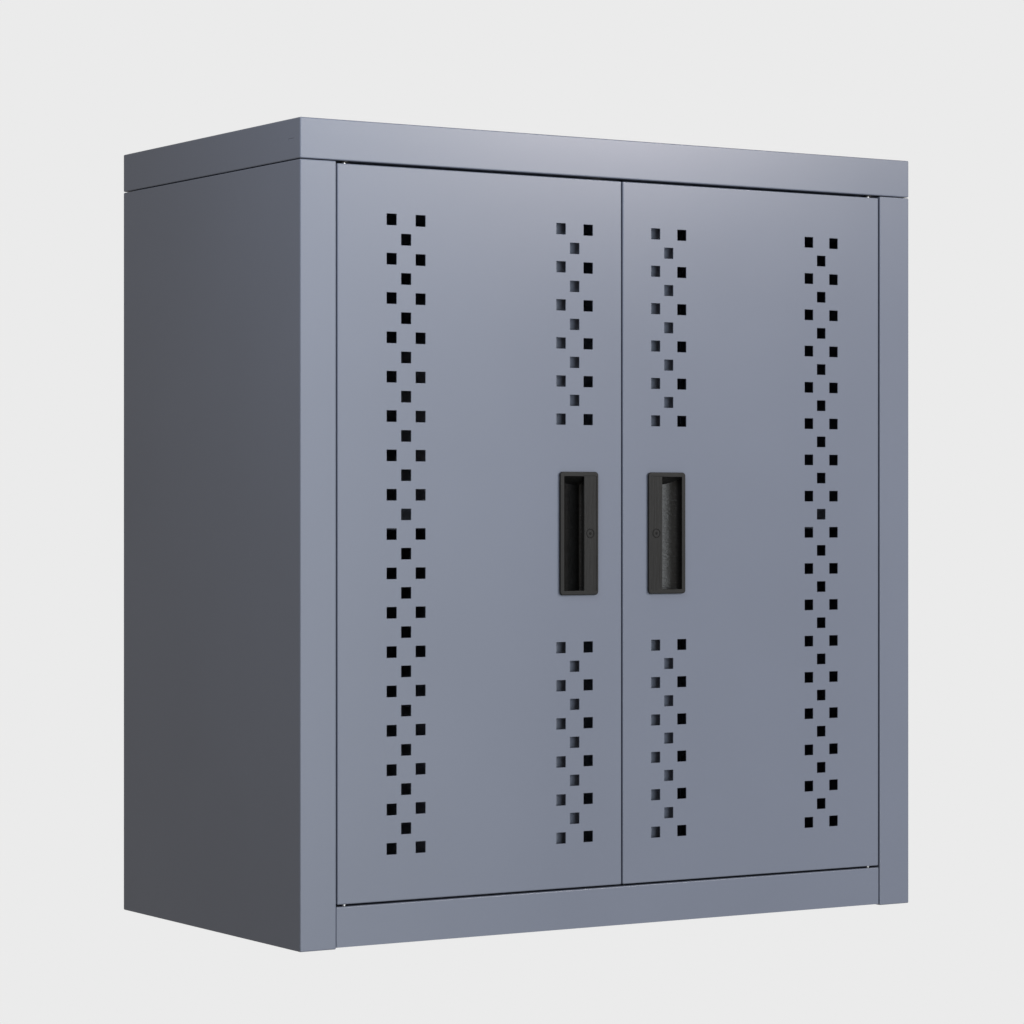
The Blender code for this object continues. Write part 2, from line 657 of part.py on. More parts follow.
def make_handle(name, side, axis):
    """A recessed pull: a bezel on the door's face, and a cup behind it that fills the door's cut-out."""
    front = DOOR_FRONT - HANDLE_PROUD
    middle_x = side * (HANDLE_INNER + HANDLE_WIDTH / 2)
    origin = Vector((middle_x, DOOR_FRONT, HANDLE_MIDDLE))
    thickness = HANDLE_PROUD - FIT
    outline = rounded_outline(HANDLE_WIDTH / 2, HANDLE_HEIGHT / 2, HANDLE_CORNER)
    made = outline_prism(name, outline, thickness / 2, parts, black_plastic(name))
    upright = Matrix.Rotation(math.pi / 2, 4, "X")
    forward = Matrix.Translation((0, front + thickness / 2 - DOOR_FRONT, 0))
    made.data.transform(forward @ upright)
    edge = made.modifiers.new("edge", "BEVEL")
    edge.width = HANDLE_EDGE
    edge.segments = 2
    edge.limit_method = "ANGLE"
    edge.angle_limit = math.radians(60)

    low = HANDLE_CUTOUT_LOW + FIT
    high = HANDLE_CUTOUT_HIGH - FIT
    body_front = front + HANDLE_EDGE
    body_back = front + HANDLE_BODY_DEPTH
    body_middle = Vector((side * (low + high) / 2, (body_front + body_back) / 2, HANDLE_MIDDLE))
    body_size = (high - low, body_back - body_front, 2 * (HANDLE_CUTOUT_HALF - FIT))
    body = bmesh.new()
    add_box(body, body_middle - origin, body_size)
    boolean(made, object_from(body, name + "_body", cutters), "UNION")

    outline = [(x - origin.x, y - origin.y) for x, y in recess_outline(side, front)]
    recess = outline_prism(name + "_recess", outline, RECESS_HEIGHT / 2, cutters)
    for vert in (v for v in recess.data.vertices if v.co.z > 0):
        depth = vert.co.y + origin.y - front
        vert.co.z -= RECESS_TOP_SLOPE * depth
    boolean(made, recess)
    return place(made, origin, axis)


# ------------------------------------------------------------------ pivot pins and bushes
PIN_HEAD = 0.0025
PIN_POINT = 0.001  # length of the taper at a pin's tip
PIN_POINT_RADIUS = PIN_RADIUS * 0.6
TOP_PIN_REACH = 0.0100  # above the door
BOTTOM_PIN_REACH = 0.0093  # below the door
BUSH_LENGTH = 0.0085
BUSH_COLLAR_RADIUS = 0.0042
BUSH_COLLAR_HEIGHT = 0.0009
BUSH_FLOOR = 0.0018  # thickness of a bottom bush's closed end


def make_pin(name, side, axis, at_top):
    """A headed pin, pushed out through the door's top or bottom wall into the bush beyond it."""
    reach = TOP_PIN_REACH if at_top else BOTTOM_PIN_REACH
    inside = SHEET + FIT
    if at_top:
        place_z = DOOR_TOP
        profile = [
            (0, reach),
            (PIN_POINT_RADIUS, reach),
            (PIN_RADIUS, reach - PIN_POINT),
            (PIN_RADIUS, -inside),
            (PIN_HEAD_RADIUS, -inside),
            (PIN_HEAD_RADIUS, -inside - PIN_HEAD),
            (0, -inside - PIN_HEAD),
        ]
    else:
        place_z = DOOR_BOTTOM
        profile = [
            (0, inside + PIN_HEAD),
            (PIN_HEAD_RADIUS, inside + PIN_HEAD),
            (PIN_HEAD_RADIUS, inside),
            (PIN_RADIUS, inside),
            (PIN_RADIUS, -reach + PIN_POINT),
            (PIN_POINT_RADIUS, -reach),
            (0, -reach),
        ]
    made = turned(name, profile, zinc_plate(name))
    return place(made, (side * HINGE_X, HINGE_Y, place_z), axis)


def make_top_bush(name, side):
    """A nylon sleeve up through the top panel's flange, with a collar that sits under the flange."""
    bore = PIN_RADIUS + RUNNING_GAP
    collar = BUSH_COLLAR_RADIUS
    collar_low = -FIT - BUSH_COLLAR_HEIGHT
    profile = [
        (bore, BUSH_LENGTH),
        (BUSH_RADIUS, BUSH_LENGTH),
        (BUSH_RADIUS, -FIT),
        (collar, -FIT),
        (collar, collar_low),
        (bore, collar_low),
    ]
    made = turned(name, profile, dark_nylon(name), closed=True)
    return place(made, (side * HINGE_X, HINGE_Y, SKIRT_BOTTOM), case)


def make_bottom_bush(name, side):
    """A nylon cup in the cabinet floor. Its closed lower end carries the door on the pin's tip."""
    bore = PIN_RADIUS + RUNNING_GAP
    tip = DOOR_BOTTOM - BOTTOM_PIN_REACH - FIT - FLOOR_TOP
    profile = [
        (0, tip),
        (bore, tip),
        (bore, 0.0),
        (BUSH_RADIUS, 0.0),
        (BUSH_RADIUS, tip - BUSH_FLOOR),
        (0, tip - BUSH_FLOOR),
    ]
    made = turned(name, profile, dark_nylon(name))
    return place(made, (side * HINGE_X, HINGE_Y, FLOOR_TOP), case)


# ------------------------------------------------------------------ door catches
MAGNET_SIZE = Vector((0.028, 0.0035, 0.0075))
CATCH_EDGE = 0.0008  # bevel on the catch's block
POCKET_OPEN = 0.001  # the pocket's cutter reaches this far past the block's face
CATCH_SCREW_RADIUS = CATCH_HOLE - FIT
CATCH_SCREW_HEAD_RADIUS = 0.0032
CATCH_SCREW_HEAD = 0.0022
CATCH_SCREW_REACH = 0.006  # above the block
CATCH_SCREW_POINT = 0.002


def make_catch_case(name, side):
    """A moulded block under the top panel's flange, with a pocket for its magnet facing the door."""
    shape = bmesh.new()
    bmesh.ops.create_cube(shape, size=1.0, matrix=Matrix.Diagonal((*CATCH_SIZE, 1.0)))
    made = object_from(shape, name, parts, black_plastic(name))
    edge = made.modifiers.new("edge", "BEVEL")
    edge.width = CATCH_EDGE
    edge.segments = 2
    pocket = MAGNET_SIZE + Vector((2 * FIT, 2 * FIT + POCKET_OPEN, 2 * FIT))
    pocket_y = (MAGNET_SIZE.y - CATCH_SIZE.y + FIT - POCKET_OPEN) / 2
    cut_boxes(made, "pocket", [((0, pocket_y, 0), pocket)])
    through = 2 * CATCH_SIZE.z
    cut_rods(made, "screw_hole", [((0, CATCH_SCREW_OFFSET, 0), CATCH_HOLE, through)], "Z")
    return place(made, (side * CATCH_MIDDLE.x, CATCH_MIDDLE.y, CATCH_MIDDLE.z), case)


def make_catch_magnet(name, side):
    shape = bmesh.new()
    bmesh.ops.create_cube(shape, size=1.0, matrix=Matrix.Diagonal((*MAGNET_SIZE, 1.0)))
    made = object_from(shape, name, parts, magnet_iron(name))
    front = CATCH_MIDDLE.y - CATCH_SIZE.y / 2
    return place(made, (side * CATCH_MIDDLE.x, front + MAGNET_SIZE.y / 2, CATCH_MIDDLE.z), case)


def make_catch_screw(name, side):
    head = CATCH_MIDDLE.z - CATCH_SIZE.z / 2 - FIT
    tip = CATCH_SIZE.z + CATCH_SCREW_REACH
    profile = [
        (0, tip),
        (CATCH_SCREW_RADIUS * 0.4, tip),
        (CATCH_SCREW_RADIUS, tip - CATCH_SCREW_POINT),
        (CATCH_SCREW_RADIUS, 0),
        (CATCH_SCREW_HEAD_RADIUS, 0),
        (CATCH_SCREW_HEAD_RADIUS * 0.8, -CATCH_SCREW_HEAD * 0.8),
        (0, -CATCH_SCREW_HEAD),
    ]
    made = turned(name, profile, zinc_plate(name), sides=ROUND_SMALL)
    return place(made, (side * CATCH_MIDDLE.x, CATCH_MIDDLE.y + CATCH_SCREW_OFFSET, head), case)


# ------------------------------------------------------------------ fasteners
BOLT = {"radius": BOLT_RADIUS, "length": 0.012, "head_radius": 0.0048, "head_height": 0.0030}
BACK_SCREW = {"radius": BACK_SCREW_RADIUS, "length": 0.009, "head_radius": 0.0034, "head_height": 0.002}
NUT_HEIGHT = 0.004
NUT_RADIUS = 0.0046


def make_screw(name, kind, location, direction):
    """A pan-head screw whose head rests at the location and whose shank runs along the direction."""
    radius, length = kind["radius"], kind["length"]
    head_radius, head_height = kind["head_radius"], kind["head_height"]
    profile = [
        (0, head_height),
        (head_radius * 0.75, head_height * 0.9),
        (head_radius, head_height * 0.35),
        (head_radius, 0),
        (radius, 0),
        (radius, -length + radius),
        (radius * 0.5, -length),
        (0, -length),
    ]
    made = turned(name, profile, zinc_plate(name), sides=ROUND_SMALL)
    made.rotation_euler = Vector(direction).to_track_quat("-Z", "Y").to_euler()
    return place(made, location, case)


def make_nut(name, location):
    shape = bmesh.new()
    add_rod(shape, (0, 0, 0), NUT_RADIUS, NUT_HEIGHT, "X", sides=6)
    made = object_from(shape, name, parts, zinc_plate(name))
    cut_rods(made, "thread", [((0, 0, 0), BOLT_HOLE, 2 * NUT_HEIGHT)], "X")
    return place(made, location, case)


def make_fasteners():
    for side_name, side in SIDES.items():
        for end_name, end in (("front", -1), ("rear", 1)):
            y = CASE_MIDDLE_Y + end * BOLT_Y
            under_flange = SIDE_TOP - SHEET - FIT
            top = (side * BOLT_X, y, under_flange)
            make_screw(f"top_bolt_{end_name}_{side_name}", BOLT, top, (0, 0, 1))
            skirt_inner = BASE_HALF_WIDTH - SHEET - FIT
            base = (side * skirt_inner, y, BASE_BOLT_Z)
            make_screw(f"base_bolt_{end_name}_{side_name}", BOLT, base, (side, 0, 0))
            nut_x = SIDE_INNER + SHEET + FIT + NUT_HEIGHT / 2
            make_nut(f"base_nut_{end_name}_{side_name}", (side * nut_x, y, BASE_BOLT_Z))
        for row_name, height in BACK_SCREW_HEIGHTS.items():
            flange_inner = BACK_PLATE_HALF_WIDTH - SHEET - FIT
            at = (side * flange_inner, CASE_BACK - BACK_SCREW_SETBACK, height)
            make_screw(f"back_screw_{row_name}_{side_name}", BACK_SCREW, at, (side, 0, 0))


# ------------------------------------------------------------------ the cabinet
def make_cabinet():
    make_top_panel()
    make_bottom_panel()
    make_back_panel()
    make_hanging_rail()
    make_shelf()
    make_shelf_stiffener()
    for side_name, side in SIDES.items():
        make_side_panel(f"{side_name}_side_panel", side)
        make_top_bush(f"hinge_bush_top_{side_name}", side)
        make_bottom_bush(f"hinge_bush_bottom_{side_name}", side)
        make_catch_case(f"catch_case_{side_name}", side)
        make_catch_magnet(f"catch_magnet_{side_name}", side)
        make_catch_screw(f"catch_screw_{side_name}", side)
        for end_name, end in (("front", -1), ("rear", 1)):
            make_shelf_clip(f"shelf_clip_{end_name}_{side_name}", side, end)
        axis = door_axis(f"{side_name}_door_axis", side)
        make_door_panel(f"{side_name}_door_panel", side, axis)
        make_door_stiffener(f"{side_name}_door_stiffener", side, axis)
        make_handle(f"{side_name}_handle", side, axis)
        make_pin(f"{side_name}_hinge_pin_top", side, axis, at_top=True)
        make_pin(f"{side_name}_hinge_pin_bottom", side, axis, at_top=False)
    make_fasteners()


make_cabinet()
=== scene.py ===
"""Looks of the hanging wall cabinet: painted sheet steel, moulded pulls, zinc-plated and nylon fittings.

Frame: metres, +Z up, the doors face -Y. Every piece is made in the row frame, where its CAD node lies.
"""

import json
import math

import bmesh
import bpy
from mathutils import Matrix, Vector

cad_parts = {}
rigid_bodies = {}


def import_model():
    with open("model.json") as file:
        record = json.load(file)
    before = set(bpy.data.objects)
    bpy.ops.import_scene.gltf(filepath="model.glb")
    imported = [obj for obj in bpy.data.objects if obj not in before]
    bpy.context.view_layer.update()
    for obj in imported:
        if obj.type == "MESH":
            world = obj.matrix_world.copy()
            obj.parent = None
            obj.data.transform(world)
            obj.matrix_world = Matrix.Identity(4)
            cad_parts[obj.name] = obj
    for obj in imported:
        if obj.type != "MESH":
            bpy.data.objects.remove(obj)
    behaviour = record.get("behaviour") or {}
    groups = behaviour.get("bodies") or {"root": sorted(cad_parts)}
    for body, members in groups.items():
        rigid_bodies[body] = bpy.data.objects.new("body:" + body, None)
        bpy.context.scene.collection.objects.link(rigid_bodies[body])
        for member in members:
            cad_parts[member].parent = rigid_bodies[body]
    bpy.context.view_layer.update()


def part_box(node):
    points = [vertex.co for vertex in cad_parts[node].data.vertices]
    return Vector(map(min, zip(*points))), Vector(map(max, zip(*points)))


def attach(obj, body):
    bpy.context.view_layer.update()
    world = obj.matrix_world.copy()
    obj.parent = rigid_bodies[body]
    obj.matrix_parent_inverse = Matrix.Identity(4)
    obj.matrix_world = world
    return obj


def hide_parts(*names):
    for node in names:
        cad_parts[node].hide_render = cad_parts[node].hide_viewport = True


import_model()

# ------------------------------------------------------------------ sizes shared by the pieces
SHEET = 0.0008
BEND = 0.0007  # bend radius at the middle of the sheet
BEND_STEPS = 4
FIT = 0.0003  # gap between two touching pieces
PAINT_EDGE = 0.00014  # the coat rounds off each cut edge

TOP_RETURN = 0.036
SIDE_RETURN = 0.038
DOOR_RETURN = 0.012
SHELF_RETURN = 0.012
SLIT = 0.0004  # open mitre between two folded flanges
SIDES = {"left": -1, "right": 1}
ENDS = {"front": -1, "rear": 1}

case_low, case_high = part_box("left_side_panel")
CASE_FRONT = case_low.y
CASE_BACK = case_high.y
CASE_MIDDLE_Y = (CASE_FRONT + CASE_BACK) / 2
SIDE_INNER = -case_high.x
HALF_WIDTH = -case_low.x
SIDE_TOP = case_high.z
SKIRT_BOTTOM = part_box("top_panel")[0].z
FLOOR_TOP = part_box("bottom_panel")[1].z


# ------------------------------------------------------------------ mesh tools
cutters = bpy.data.collections.new("cutters")
bpy.context.scene.collection.children.link(cutters)


def object_from(shape, name, group=None):
    """Turns a finished bmesh into an object, in the scene unless a group is given."""
    mesh = bpy.data.meshes.new(name)
    shape.to_mesh(mesh)
    shape.free()
    made = bpy.data.objects.new(name, mesh)
    (group or bpy.context.scene.collection).objects.link(made)
    return made


def thicken(made, thickness=SHEET, bend=BEND):
    """Rounds the folds of a sheet drawn at its mid surface, then gives it its thickness."""
    bevel = made.modifiers.new("bends", "BEVEL")
    bevel.width = bend
    bevel.segments = BEND_STEPS
    bevel.limit_method = "ANGLE"
    bevel.angle_limit = math.radians(40)
    solid = made.modifiers.new("sheet", "SOLIDIFY")
    solid.thickness = thickness
    solid.offset = 0.0
    solid.use_even_offset = True
    return made


def round_edges(made, width, steps=2, angle=50):
    bevel = made.modifiers.new("edges", "BEVEL")
    bevel.width = width
    bevel.segments = steps
    bevel.limit_method = "ANGLE"
    bevel.angle_limit = math.radians(angle)
    bevel.use_clamp_overlap = False
    return made


def settle(made, sharp=35):
    """Replaces a piece's modifiers by their result, smooth but for its sharp edges."""
    graph = bpy.context.evaluated_depsgraph_get()
    mesh = bpy.data.meshes.new_from_object(made.evaluated_get(graph))
    made.modifiers.clear()
    made.data = mesh
    mesh.shade_smooth()
    mesh.set_sharp_from_angle(angle=math.radians(sharp))
    for tool in list(cutters.objects):
        bpy.data.objects.remove(tool)
    level = made.modifiers.new("flat faces stay flat", "WEIGHTED_NORMAL")
    level.mode = "FACE_AREA"
    level.weight = 80
    level.keep_sharp = True
    return made


def tray(name, low, high, mouth, flange, thickness=SHEET, bend=BEND):
    """A folded pan that fills a box and opens along mouth.

    Its rim is folded in by flange along each axis. Without flanges the walls just end at the box.
    """
    shape = bmesh.new()
    middle = (low + high) / 2
    size = [length - thickness for length in high - low]
    bmesh.ops.create_cube(shape, size=1.0, matrix=Matrix.Diagonal((*size, 1.0)))
    mouth = Vector(mouth)
    open_face = [f for f in shape.faces if f.normal.dot(mouth) > 0.9][0]
    rim = list(open_face.edges)
    rim_corners = list(open_face.verts)
    bmesh.ops.delete(shape, geom=[open_face], context="FACES_ONLY")
    if any(flange):
        folded = bmesh.ops.extrude_edge_only(shape, edges=rim)["geom"]
        for vert in (g for g in folded if isinstance(g, bmesh.types.BMVert)):
            for axis in range(3):
                vert.co[axis] -= math.copysign(flange[axis], vert.co[axis])
    else:
        bmesh.ops.translate(shape, verts=rim_corners, vec=mouth * thickness / 2)
    bmesh.ops.recalc_face_normals(shape, faces=shape.faces)
    bmesh.ops.translate(shape, verts=shape.verts, vec=middle)
    made = thicken(object_from(shape, name), thickness, bend)
    if any(flange):
        slit_mitres(made, low, high, mouth, flange)
    return made


def slit_mitres(made, low, high, mouth, flange):
    """The open joint between two folded flanges, at each corner of a pan's mouth."""
    across = [axis for axis in range(3) if not mouth[axis]]
    depth = [axis for axis in range(3) if mouth[axis]][0]
    plane = high[depth] if mouth[depth] > 0 else low[depth]
    corner_clear = 0.0024  # the slit starts this far in from the pan's corner
    past_flange = 0.002
    shape = bmesh.new()
    for first_sign in (-1, 1):
        for second_sign in (-1, 1):
            outer = Vector((0, 0, 0))
            inner = Vector((0, 0, 0))
            outer[depth] = inner[depth] = plane
            for axis, sign in zip(across, (first_sign, second_sign)):
                edge = high[axis] if sign > 0 else low[axis]
                outer[axis] = edge - sign * corner_clear
                inner[axis] = edge - sign * (flange[axis] + past_flange)
            add_bar(shape, outer, inner, mouth, SLIT, 4 * SHEET)
    cut(made, shape, "mitres")


def strip(name, profile, run, thickness=SHEET, bend=BEND):
    """A strip folded along the profile's points, which lie on its mid surface, and run out along run."""
    shape = bmesh.new()
    points = [shape.verts.new(point) for point in profile]
    edges = [shape.edges.new(pair) for pair in zip(points, points[1:])]
    extruded = bmesh.ops.extrude_edge_only(shape, edges=edges)["geom"]
    far = [g for g in extruded if isinstance(g, bmesh.types.BMVert)]
    bmesh.ops.translate(shape, verts=far, vec=run)
    bmesh.ops.recalc_face_normals(shape, faces=shape.faces)
    return thicken(object_from(shape, name), thickness, bend)


def add_box(shape, centre, size):
    matrix = Matrix.Translation(centre) @ Matrix.Diagonal((*size, 1.0))
    bmesh.ops.create_cube(shape, size=1.0, matrix=matrix)


def add_bar(shape, start, end, normal, width, height):
    """A box from one point to another, with its height along the normal."""
    along = (end - start).normalized()
    across = normal.cross(along).normalized()
    turn = Matrix((along, across, normal)).transposed().to_4x4()
    size = Matrix.Diagonal(((end - start).length, width, height, 1.0))
    bmesh.ops.create_cube(shape, size=1.0, matrix=Matrix.Translation((start + end) / 2) @ turn @ size)


AXIS_TURN = {
    "X": Matrix.Rotation(math.pi / 2, 4, "Y"),
    "Y": Matrix.Rotation(math.pi / 2, 4, "X"),
    "Z": Matrix.Identity(4),
}


def add_rod(shape, centre, radius, length, axis="Z", sides=32):
    bmesh.ops.create_cone(
        shape,
        cap_ends=True,
        segments=sides,
        radius1=radius,
        radius2=radius,
        depth=length,
        matrix=Matrix.Translation(centre) @ AXIS_TURN[axis],
    )


def add_prism(shape, outline, to_world):
    """A closed prism: each (a, b) of the outline is placed by to_world(a, b, end), with end 0 and 1."""
    rings = [[shape.verts.new(to_world(a, b, end)) for a, b in outline] for end in (0, 1)]
    for first, second in zip(range(len(outline)), [*range(1, len(outline)), 0]):
        shape.faces.new((rings[0][first], rings[0][second], rings[1][second], rings[1][first]))
    shape.faces.new(rings[0][::-1])
    shape.faces.new(rings[1])


def cut(made, shape, name, operation="DIFFERENCE"):
    """Cuts a closed shape out of a piece, or joins it on. settle() carries it out."""
    bmesh.ops.recalc_face_normals(shape, faces=shape.faces)
    tool = object_from(shape, f"{made.name}_{name}", cutters)
    change = made.modifiers.new(name, "BOOLEAN")
    change.operation = operation
    change.solver = "EXACT"
    change.object = tool
    return made


def cut_rods(made, name, rods, axis, operation="DIFFERENCE"):
    shape = bmesh.new()
    for centre, radius, length in rods:
        add_rod(shape, centre, radius, length, axis)
    return cut(made, shape, name, operation)


def cut_boxes(made, name, boxes):
    shape = bmesh.new()
    for centre, size in boxes:
        add_box(shape, centre, size)
    return cut(made, shape, name)


def dimples(made, name, points, axis, radius=0.0026, depth=0.00022):
    """Shallow round spot-weld marks pressed into a sheet at the given surface points."""
    shape = bmesh.new()
    ball = (radius * radius + depth * depth) / (2 * depth)
    outward = {"Y": Vector((0, 1, 0)), "-Z": Vector((0, 0, -1))}[axis]
    steps = 5
    sides = 20
    rim = 1.25 * radius  # past the surface, so that the cut is clean
    lid_height = 0.001
    lean = outward.to_track_quat("Z", "Y").to_matrix()
    for point in points:
        rings = []
        for step in range(1, steps + 1):
            reach = rim * step / steps
            drop = -depth + ball - math.sqrt(ball * ball - reach * reach)
            rings.append([
                shape.verts.new(point + lean @ Vector((
                    reach * math.cos(math.tau * turn / sides),
                    reach * math.sin(math.tau * turn / sides),
                    drop,
                )))
                for turn in range(sides)
            ])
        bottom = shape.verts.new(point - outward * depth)
        lid = shape.verts.new(point + outward * lid_height)
        for turn in range(sides):
            after = (turn + 1) % sides
            shape.faces.new((bottom, rings[0][turn], rings[0][after]))
            shape.faces.new((lid, rings[-1][after], rings[-1][turn]))
            for inner, outer in zip(rings, rings[1:]):
                shape.faces.new((inner[turn], outer[turn], outer[after], inner[after]))
    return cut(made, shape, name)


def turned(name, profile, place=Matrix.Identity(4), sides=40, closed=False):
    """A round piece about its own Z axis from (radius, height) points, moved by place."""
    shape = bmesh.new()
    rows = []
    for radius, height in profile:
        if radius == 0:
            rows.append([shape.verts.new((0, 0, height))] * sides)
            continue
        angles = [math.tau * turn / sides for turn in range(sides)]
        rows.append([shape.verts.new((radius * math.cos(a), radius * math.sin(a), height)) for a in angles])
    pairs = list(zip(rows, rows[1:]))
    if closed:
        pairs.append((rows[-1], rows[0]))
    for upper, lower in pairs:
        for turn in range(sides):
            after = (turn + 1) % sides
            corners = [upper[turn], upper[after], lower[after], lower[turn]]
            shape.faces.new(list(dict.fromkeys(corners)))
    bmesh.ops.recalc_face_normals(shape, faces=shape.faces)
    shape.transform(place)
    return object_from(shape, name)


def rounded_outline(half_width, half_height, radius, steps):
    """The (a, b) points of a rectangle with rounded corners."""
    points = []
    for quarter, (sx, sy) in enumerate(((1, 1), (-1, 1), (-1, -1), (1, -1))):
        for step in range(steps + 1):
            angle = math.pi / 2 * (quarter + step / steps)
            x = sx * (half_width - radius) + radius * math.cos(angle)
            y = sy * (half_height - radius) + radius * math.sin(angle)
            points.append((x, y))
    return points


# ------------------------------------------------------------------ materials
def new_material(name, roughness, metallic=0.0):
    made = bpy.data.materials.new(name)
    made.use_nodes = True
    tree = made.node_tree
    shader = tree.nodes["Principled BSDF"]
    shader.inputs["Roughness"].default_value = roughness
    shader.inputs["Metallic"].default_value = metallic
    return made, tree, shader


def noise(tree, scale, detail=2.0, stretch=(1, 1, 1), roughness=0.5):
    """A noise in the piece's own coordinates, in features per metre."""
    where = tree.nodes.new("ShaderNodeTexCoord")
    mapping = tree.nodes.new("ShaderNodeMapping")
    mapping.inputs["Scale"].default_value = stretch
    made = tree.nodes.new("ShaderNodeTexNoise")
    made.inputs["Scale"].default_value = scale
    made.inputs["Detail"].default_value = detail
    made.inputs["Roughness"].default_value = roughness
    tree.links.new(where.outputs["Object"], mapping.inputs["Vector"])
    tree.links.new(mapping.outputs["Vector"], made.inputs["Vector"])
    return made.outputs["Fac"]


def remap(tree, source, low, high):
    """Spreads the middle of a noise, 0.3 to 0.7, over low to high."""
    made = tree.nodes.new("ShaderNodeMapRange")
    made.inputs["From Min"].default_value = 0.3
    made.inputs["From Max"].default_value = 0.7
    made.inputs["To Min"].default_value = low
    made.inputs["To Max"].default_value = high
    tree.links.new(source, made.inputs["Value"])
    return made.outputs["Result"]


def blend_colours(tree, factor, first, second):
    made = tree.nodes.new("ShaderNodeMix")
    made.data_type = "RGBA"
    made.inputs["A"].default_value = (*first, 1.0)
    made.inputs["B"].default_value = (*second, 1.0)
    tree.links.new(factor, made.inputs["Factor"])
    return made.outputs["Result"]


def bump(tree, height, distance, under=None):
    """A relief of the given distance in metres, on top of another one if under is given."""
    made = tree.nodes.new("ShaderNodeBump")
    made.inputs["Strength"].default_value = 1.0
    made.inputs["Distance"].default_value = distance
    tree.links.new(height, made.inputs["Height"])
    if under is not None:
        tree.links.new(under, made.inputs["Normal"])
    return made.outputs["Normal"]


def shade_of(colour, factor):
    return tuple(channel * factor for channel in colour)


def powder_coat(name, colour):
    """Satin polyester powder on steel: a fine orange peel, and a tone that drifts a little over a panel."""
    made, tree, shader = new_material(name, 0.26)
    drift = remap(tree, noise(tree, 5.0, 3.0), 0.0, 1.0)
    tree.links.new(
        blend_colours(tree, drift, shade_of(colour, 0.975), shade_of(colour, 1.025)),
        shader.inputs["Base Color"],
    )
    tree.links.new(remap(tree, noise(tree, 12.0, 2.0), 0.255, 0.267), shader.inputs["Roughness"])
    waves = bump(tree, noise(tree, 140.0, 1.0), 0.000005)
    peel = bump(tree, noise(tree, 620.0, 2.0), 0.0000045, under=waves)
    tree.links.new(peel, shader.inputs["Normal"])
    return made


def moulded_plastic(name, colour, roughness, stretch=(1, 1, 1), grain=900.0, depth=0.00002, specular=0.5):
    """Moulded plastic with a grain of so many features per metre, this deep, stretched along the axes."""
    made, tree, shader = new_material(name, roughness)
    shader.inputs["Specular IOR Level"].default_value = specular
    cloud = remap(tree, noise(tree, 60.0, 3.0), 0.0, 1.0)
    tree.links.new(
        blend_colours(tree, cloud, shade_of(colour, 0.88), shade_of(colour, 1.12)),
        shader.inputs["Base Color"],
    )
    tree.links.new(
        remap(tree, noise(tree, 300.0, 3.0), roughness - 0.04, roughness + 0.04),
        shader.inputs["Roughness"],
    )
    tree.links.new(
        bump(tree, noise(tree, grain, 3.0, stretch, 0.6), depth),
        shader.inputs["Normal"],
    )
    return made


def plated_metal(name, colour, roughness, stretch=(1, 1, 1), metallic=1.0):
    """Zinc plate: a bright metal with fine drawing lines and a faint cloud of passivation."""
    made, tree, shader = new_material(name, roughness, metallic)
    cloud = remap(tree, noise(tree, 160.0, 3.0), 0.0, 1.0)
    tree.links.new(
        blend_colours(tree, cloud, shade_of(colour, 0.86), colour),
        shader.inputs["Base Color"],
    )
    tree.links.new(
        remap(tree, noise(tree, 500.0, 3.0, stretch), roughness - 0.06, roughness + 0.08),
        shader.inputs["Roughness"],
    )
    tree.links.new(
        bump(tree, noise(tree, 1500.0, 2.0, stretch), 0.000008),
        shader.inputs["Normal"],
    )
    return made


PAINT = (0.193, 0.216, 0.280)
paint_case = powder_coat("powder coat, case", PAINT)
paint_door = powder_coat("powder coat, doors", PAINT)
BLACK = (0.010, 0.010, 0.010)
DEEP_BLACK = (0.006, 0.006, 0.006)
pull_plastic = moulded_plastic("moulded black plastic", BLACK, 0.48, depth=0.00004, specular=0.3)
plate_plastic = moulded_plastic("ribbed black plastic", BLACK, 0.50, (1, 1, 0.05), 480.0, 0.0005, 0.3)
# The finger recess is the same moulding as the bezel and plate, but gets a darker black: painted shade in
# the recess.
cup_plastic = moulded_plastic("finger recess plastic", DEEP_BLACK, 0.36, (0.4, 0.4, 1), 600.0, 0.0004, 0.68)
mark_plastic = moulded_plastic("mark on the pull", DEEP_BLACK, 0.58, specular=0.2)
catch_plastic = moulded_plastic("catch plastic", (0.022, 0.022, 0.023), 0.5)
nylon = moulded_plastic("dark nylon", (0.014, 0.014, 0.015), 0.45)
pin_metal = plated_metal("bright steel pin", (0.66, 0.66, 0.67), 0.34, (1.0, 1.0, 0.1))
zinc = plated_metal("zinc plate", (0.60, 0.61, 0.64), 0.32)
zinc_sheet = plated_metal("zinc-plated strip", (0.58, 0.59, 0.62), 0.34)
ferrite = plated_metal("ferrite", (0.06, 0.06, 0.065), 0.5, metallic=0.2)


def dress(made, body, slot, surface, *nodes):
    """Gives a piece its material and body, and puts it in the place of its CAD nodes. The slot is not used.
    """
    made.data.materials.clear()
    made.data.materials.append(surface)
    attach(made, body)
    if nodes:
        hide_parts(*nodes)
    return made


# ------------------------------------------------------------------ case
BOLT_X = HALF_WIDTH - 0.018
BOLT_Y = 0.100
BOLT_HOLE = 0.0028
BASE_BOLT_Z = 0.019
THROUGH = 0.006  # length of a cutter through one sheet
BUSH_HOLE = 0.0035
CATCH_HOLE = 0.0018
TAB_MARK = (0.0006, 0.0105, 0.0010)  # pressed half into the skirt near its front corners
TAB_MARK_FROM_EDGE = 0.0162
SLOT_PITCH = 0.050
SLOT_COUNT = 11
SLOT_FIRST = 0.124
SLOT_FROM_EDGE = 0.029
SLOT_SIZE = (0.004, 0.013, 0.0032)

pin_low, pin_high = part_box("right_hinge_pin_top")
HINGE_X = (pin_low.x + pin_high.x) / 2
HINGE_Y = (pin_low.y + pin_high.y) / 2
screw_low, screw_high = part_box("catch_screw_right")
CATCH_X = (screw_low.x + screw_high.x) / 2
CATCH_Y = (screw_low.y + screw_high.y) / 2


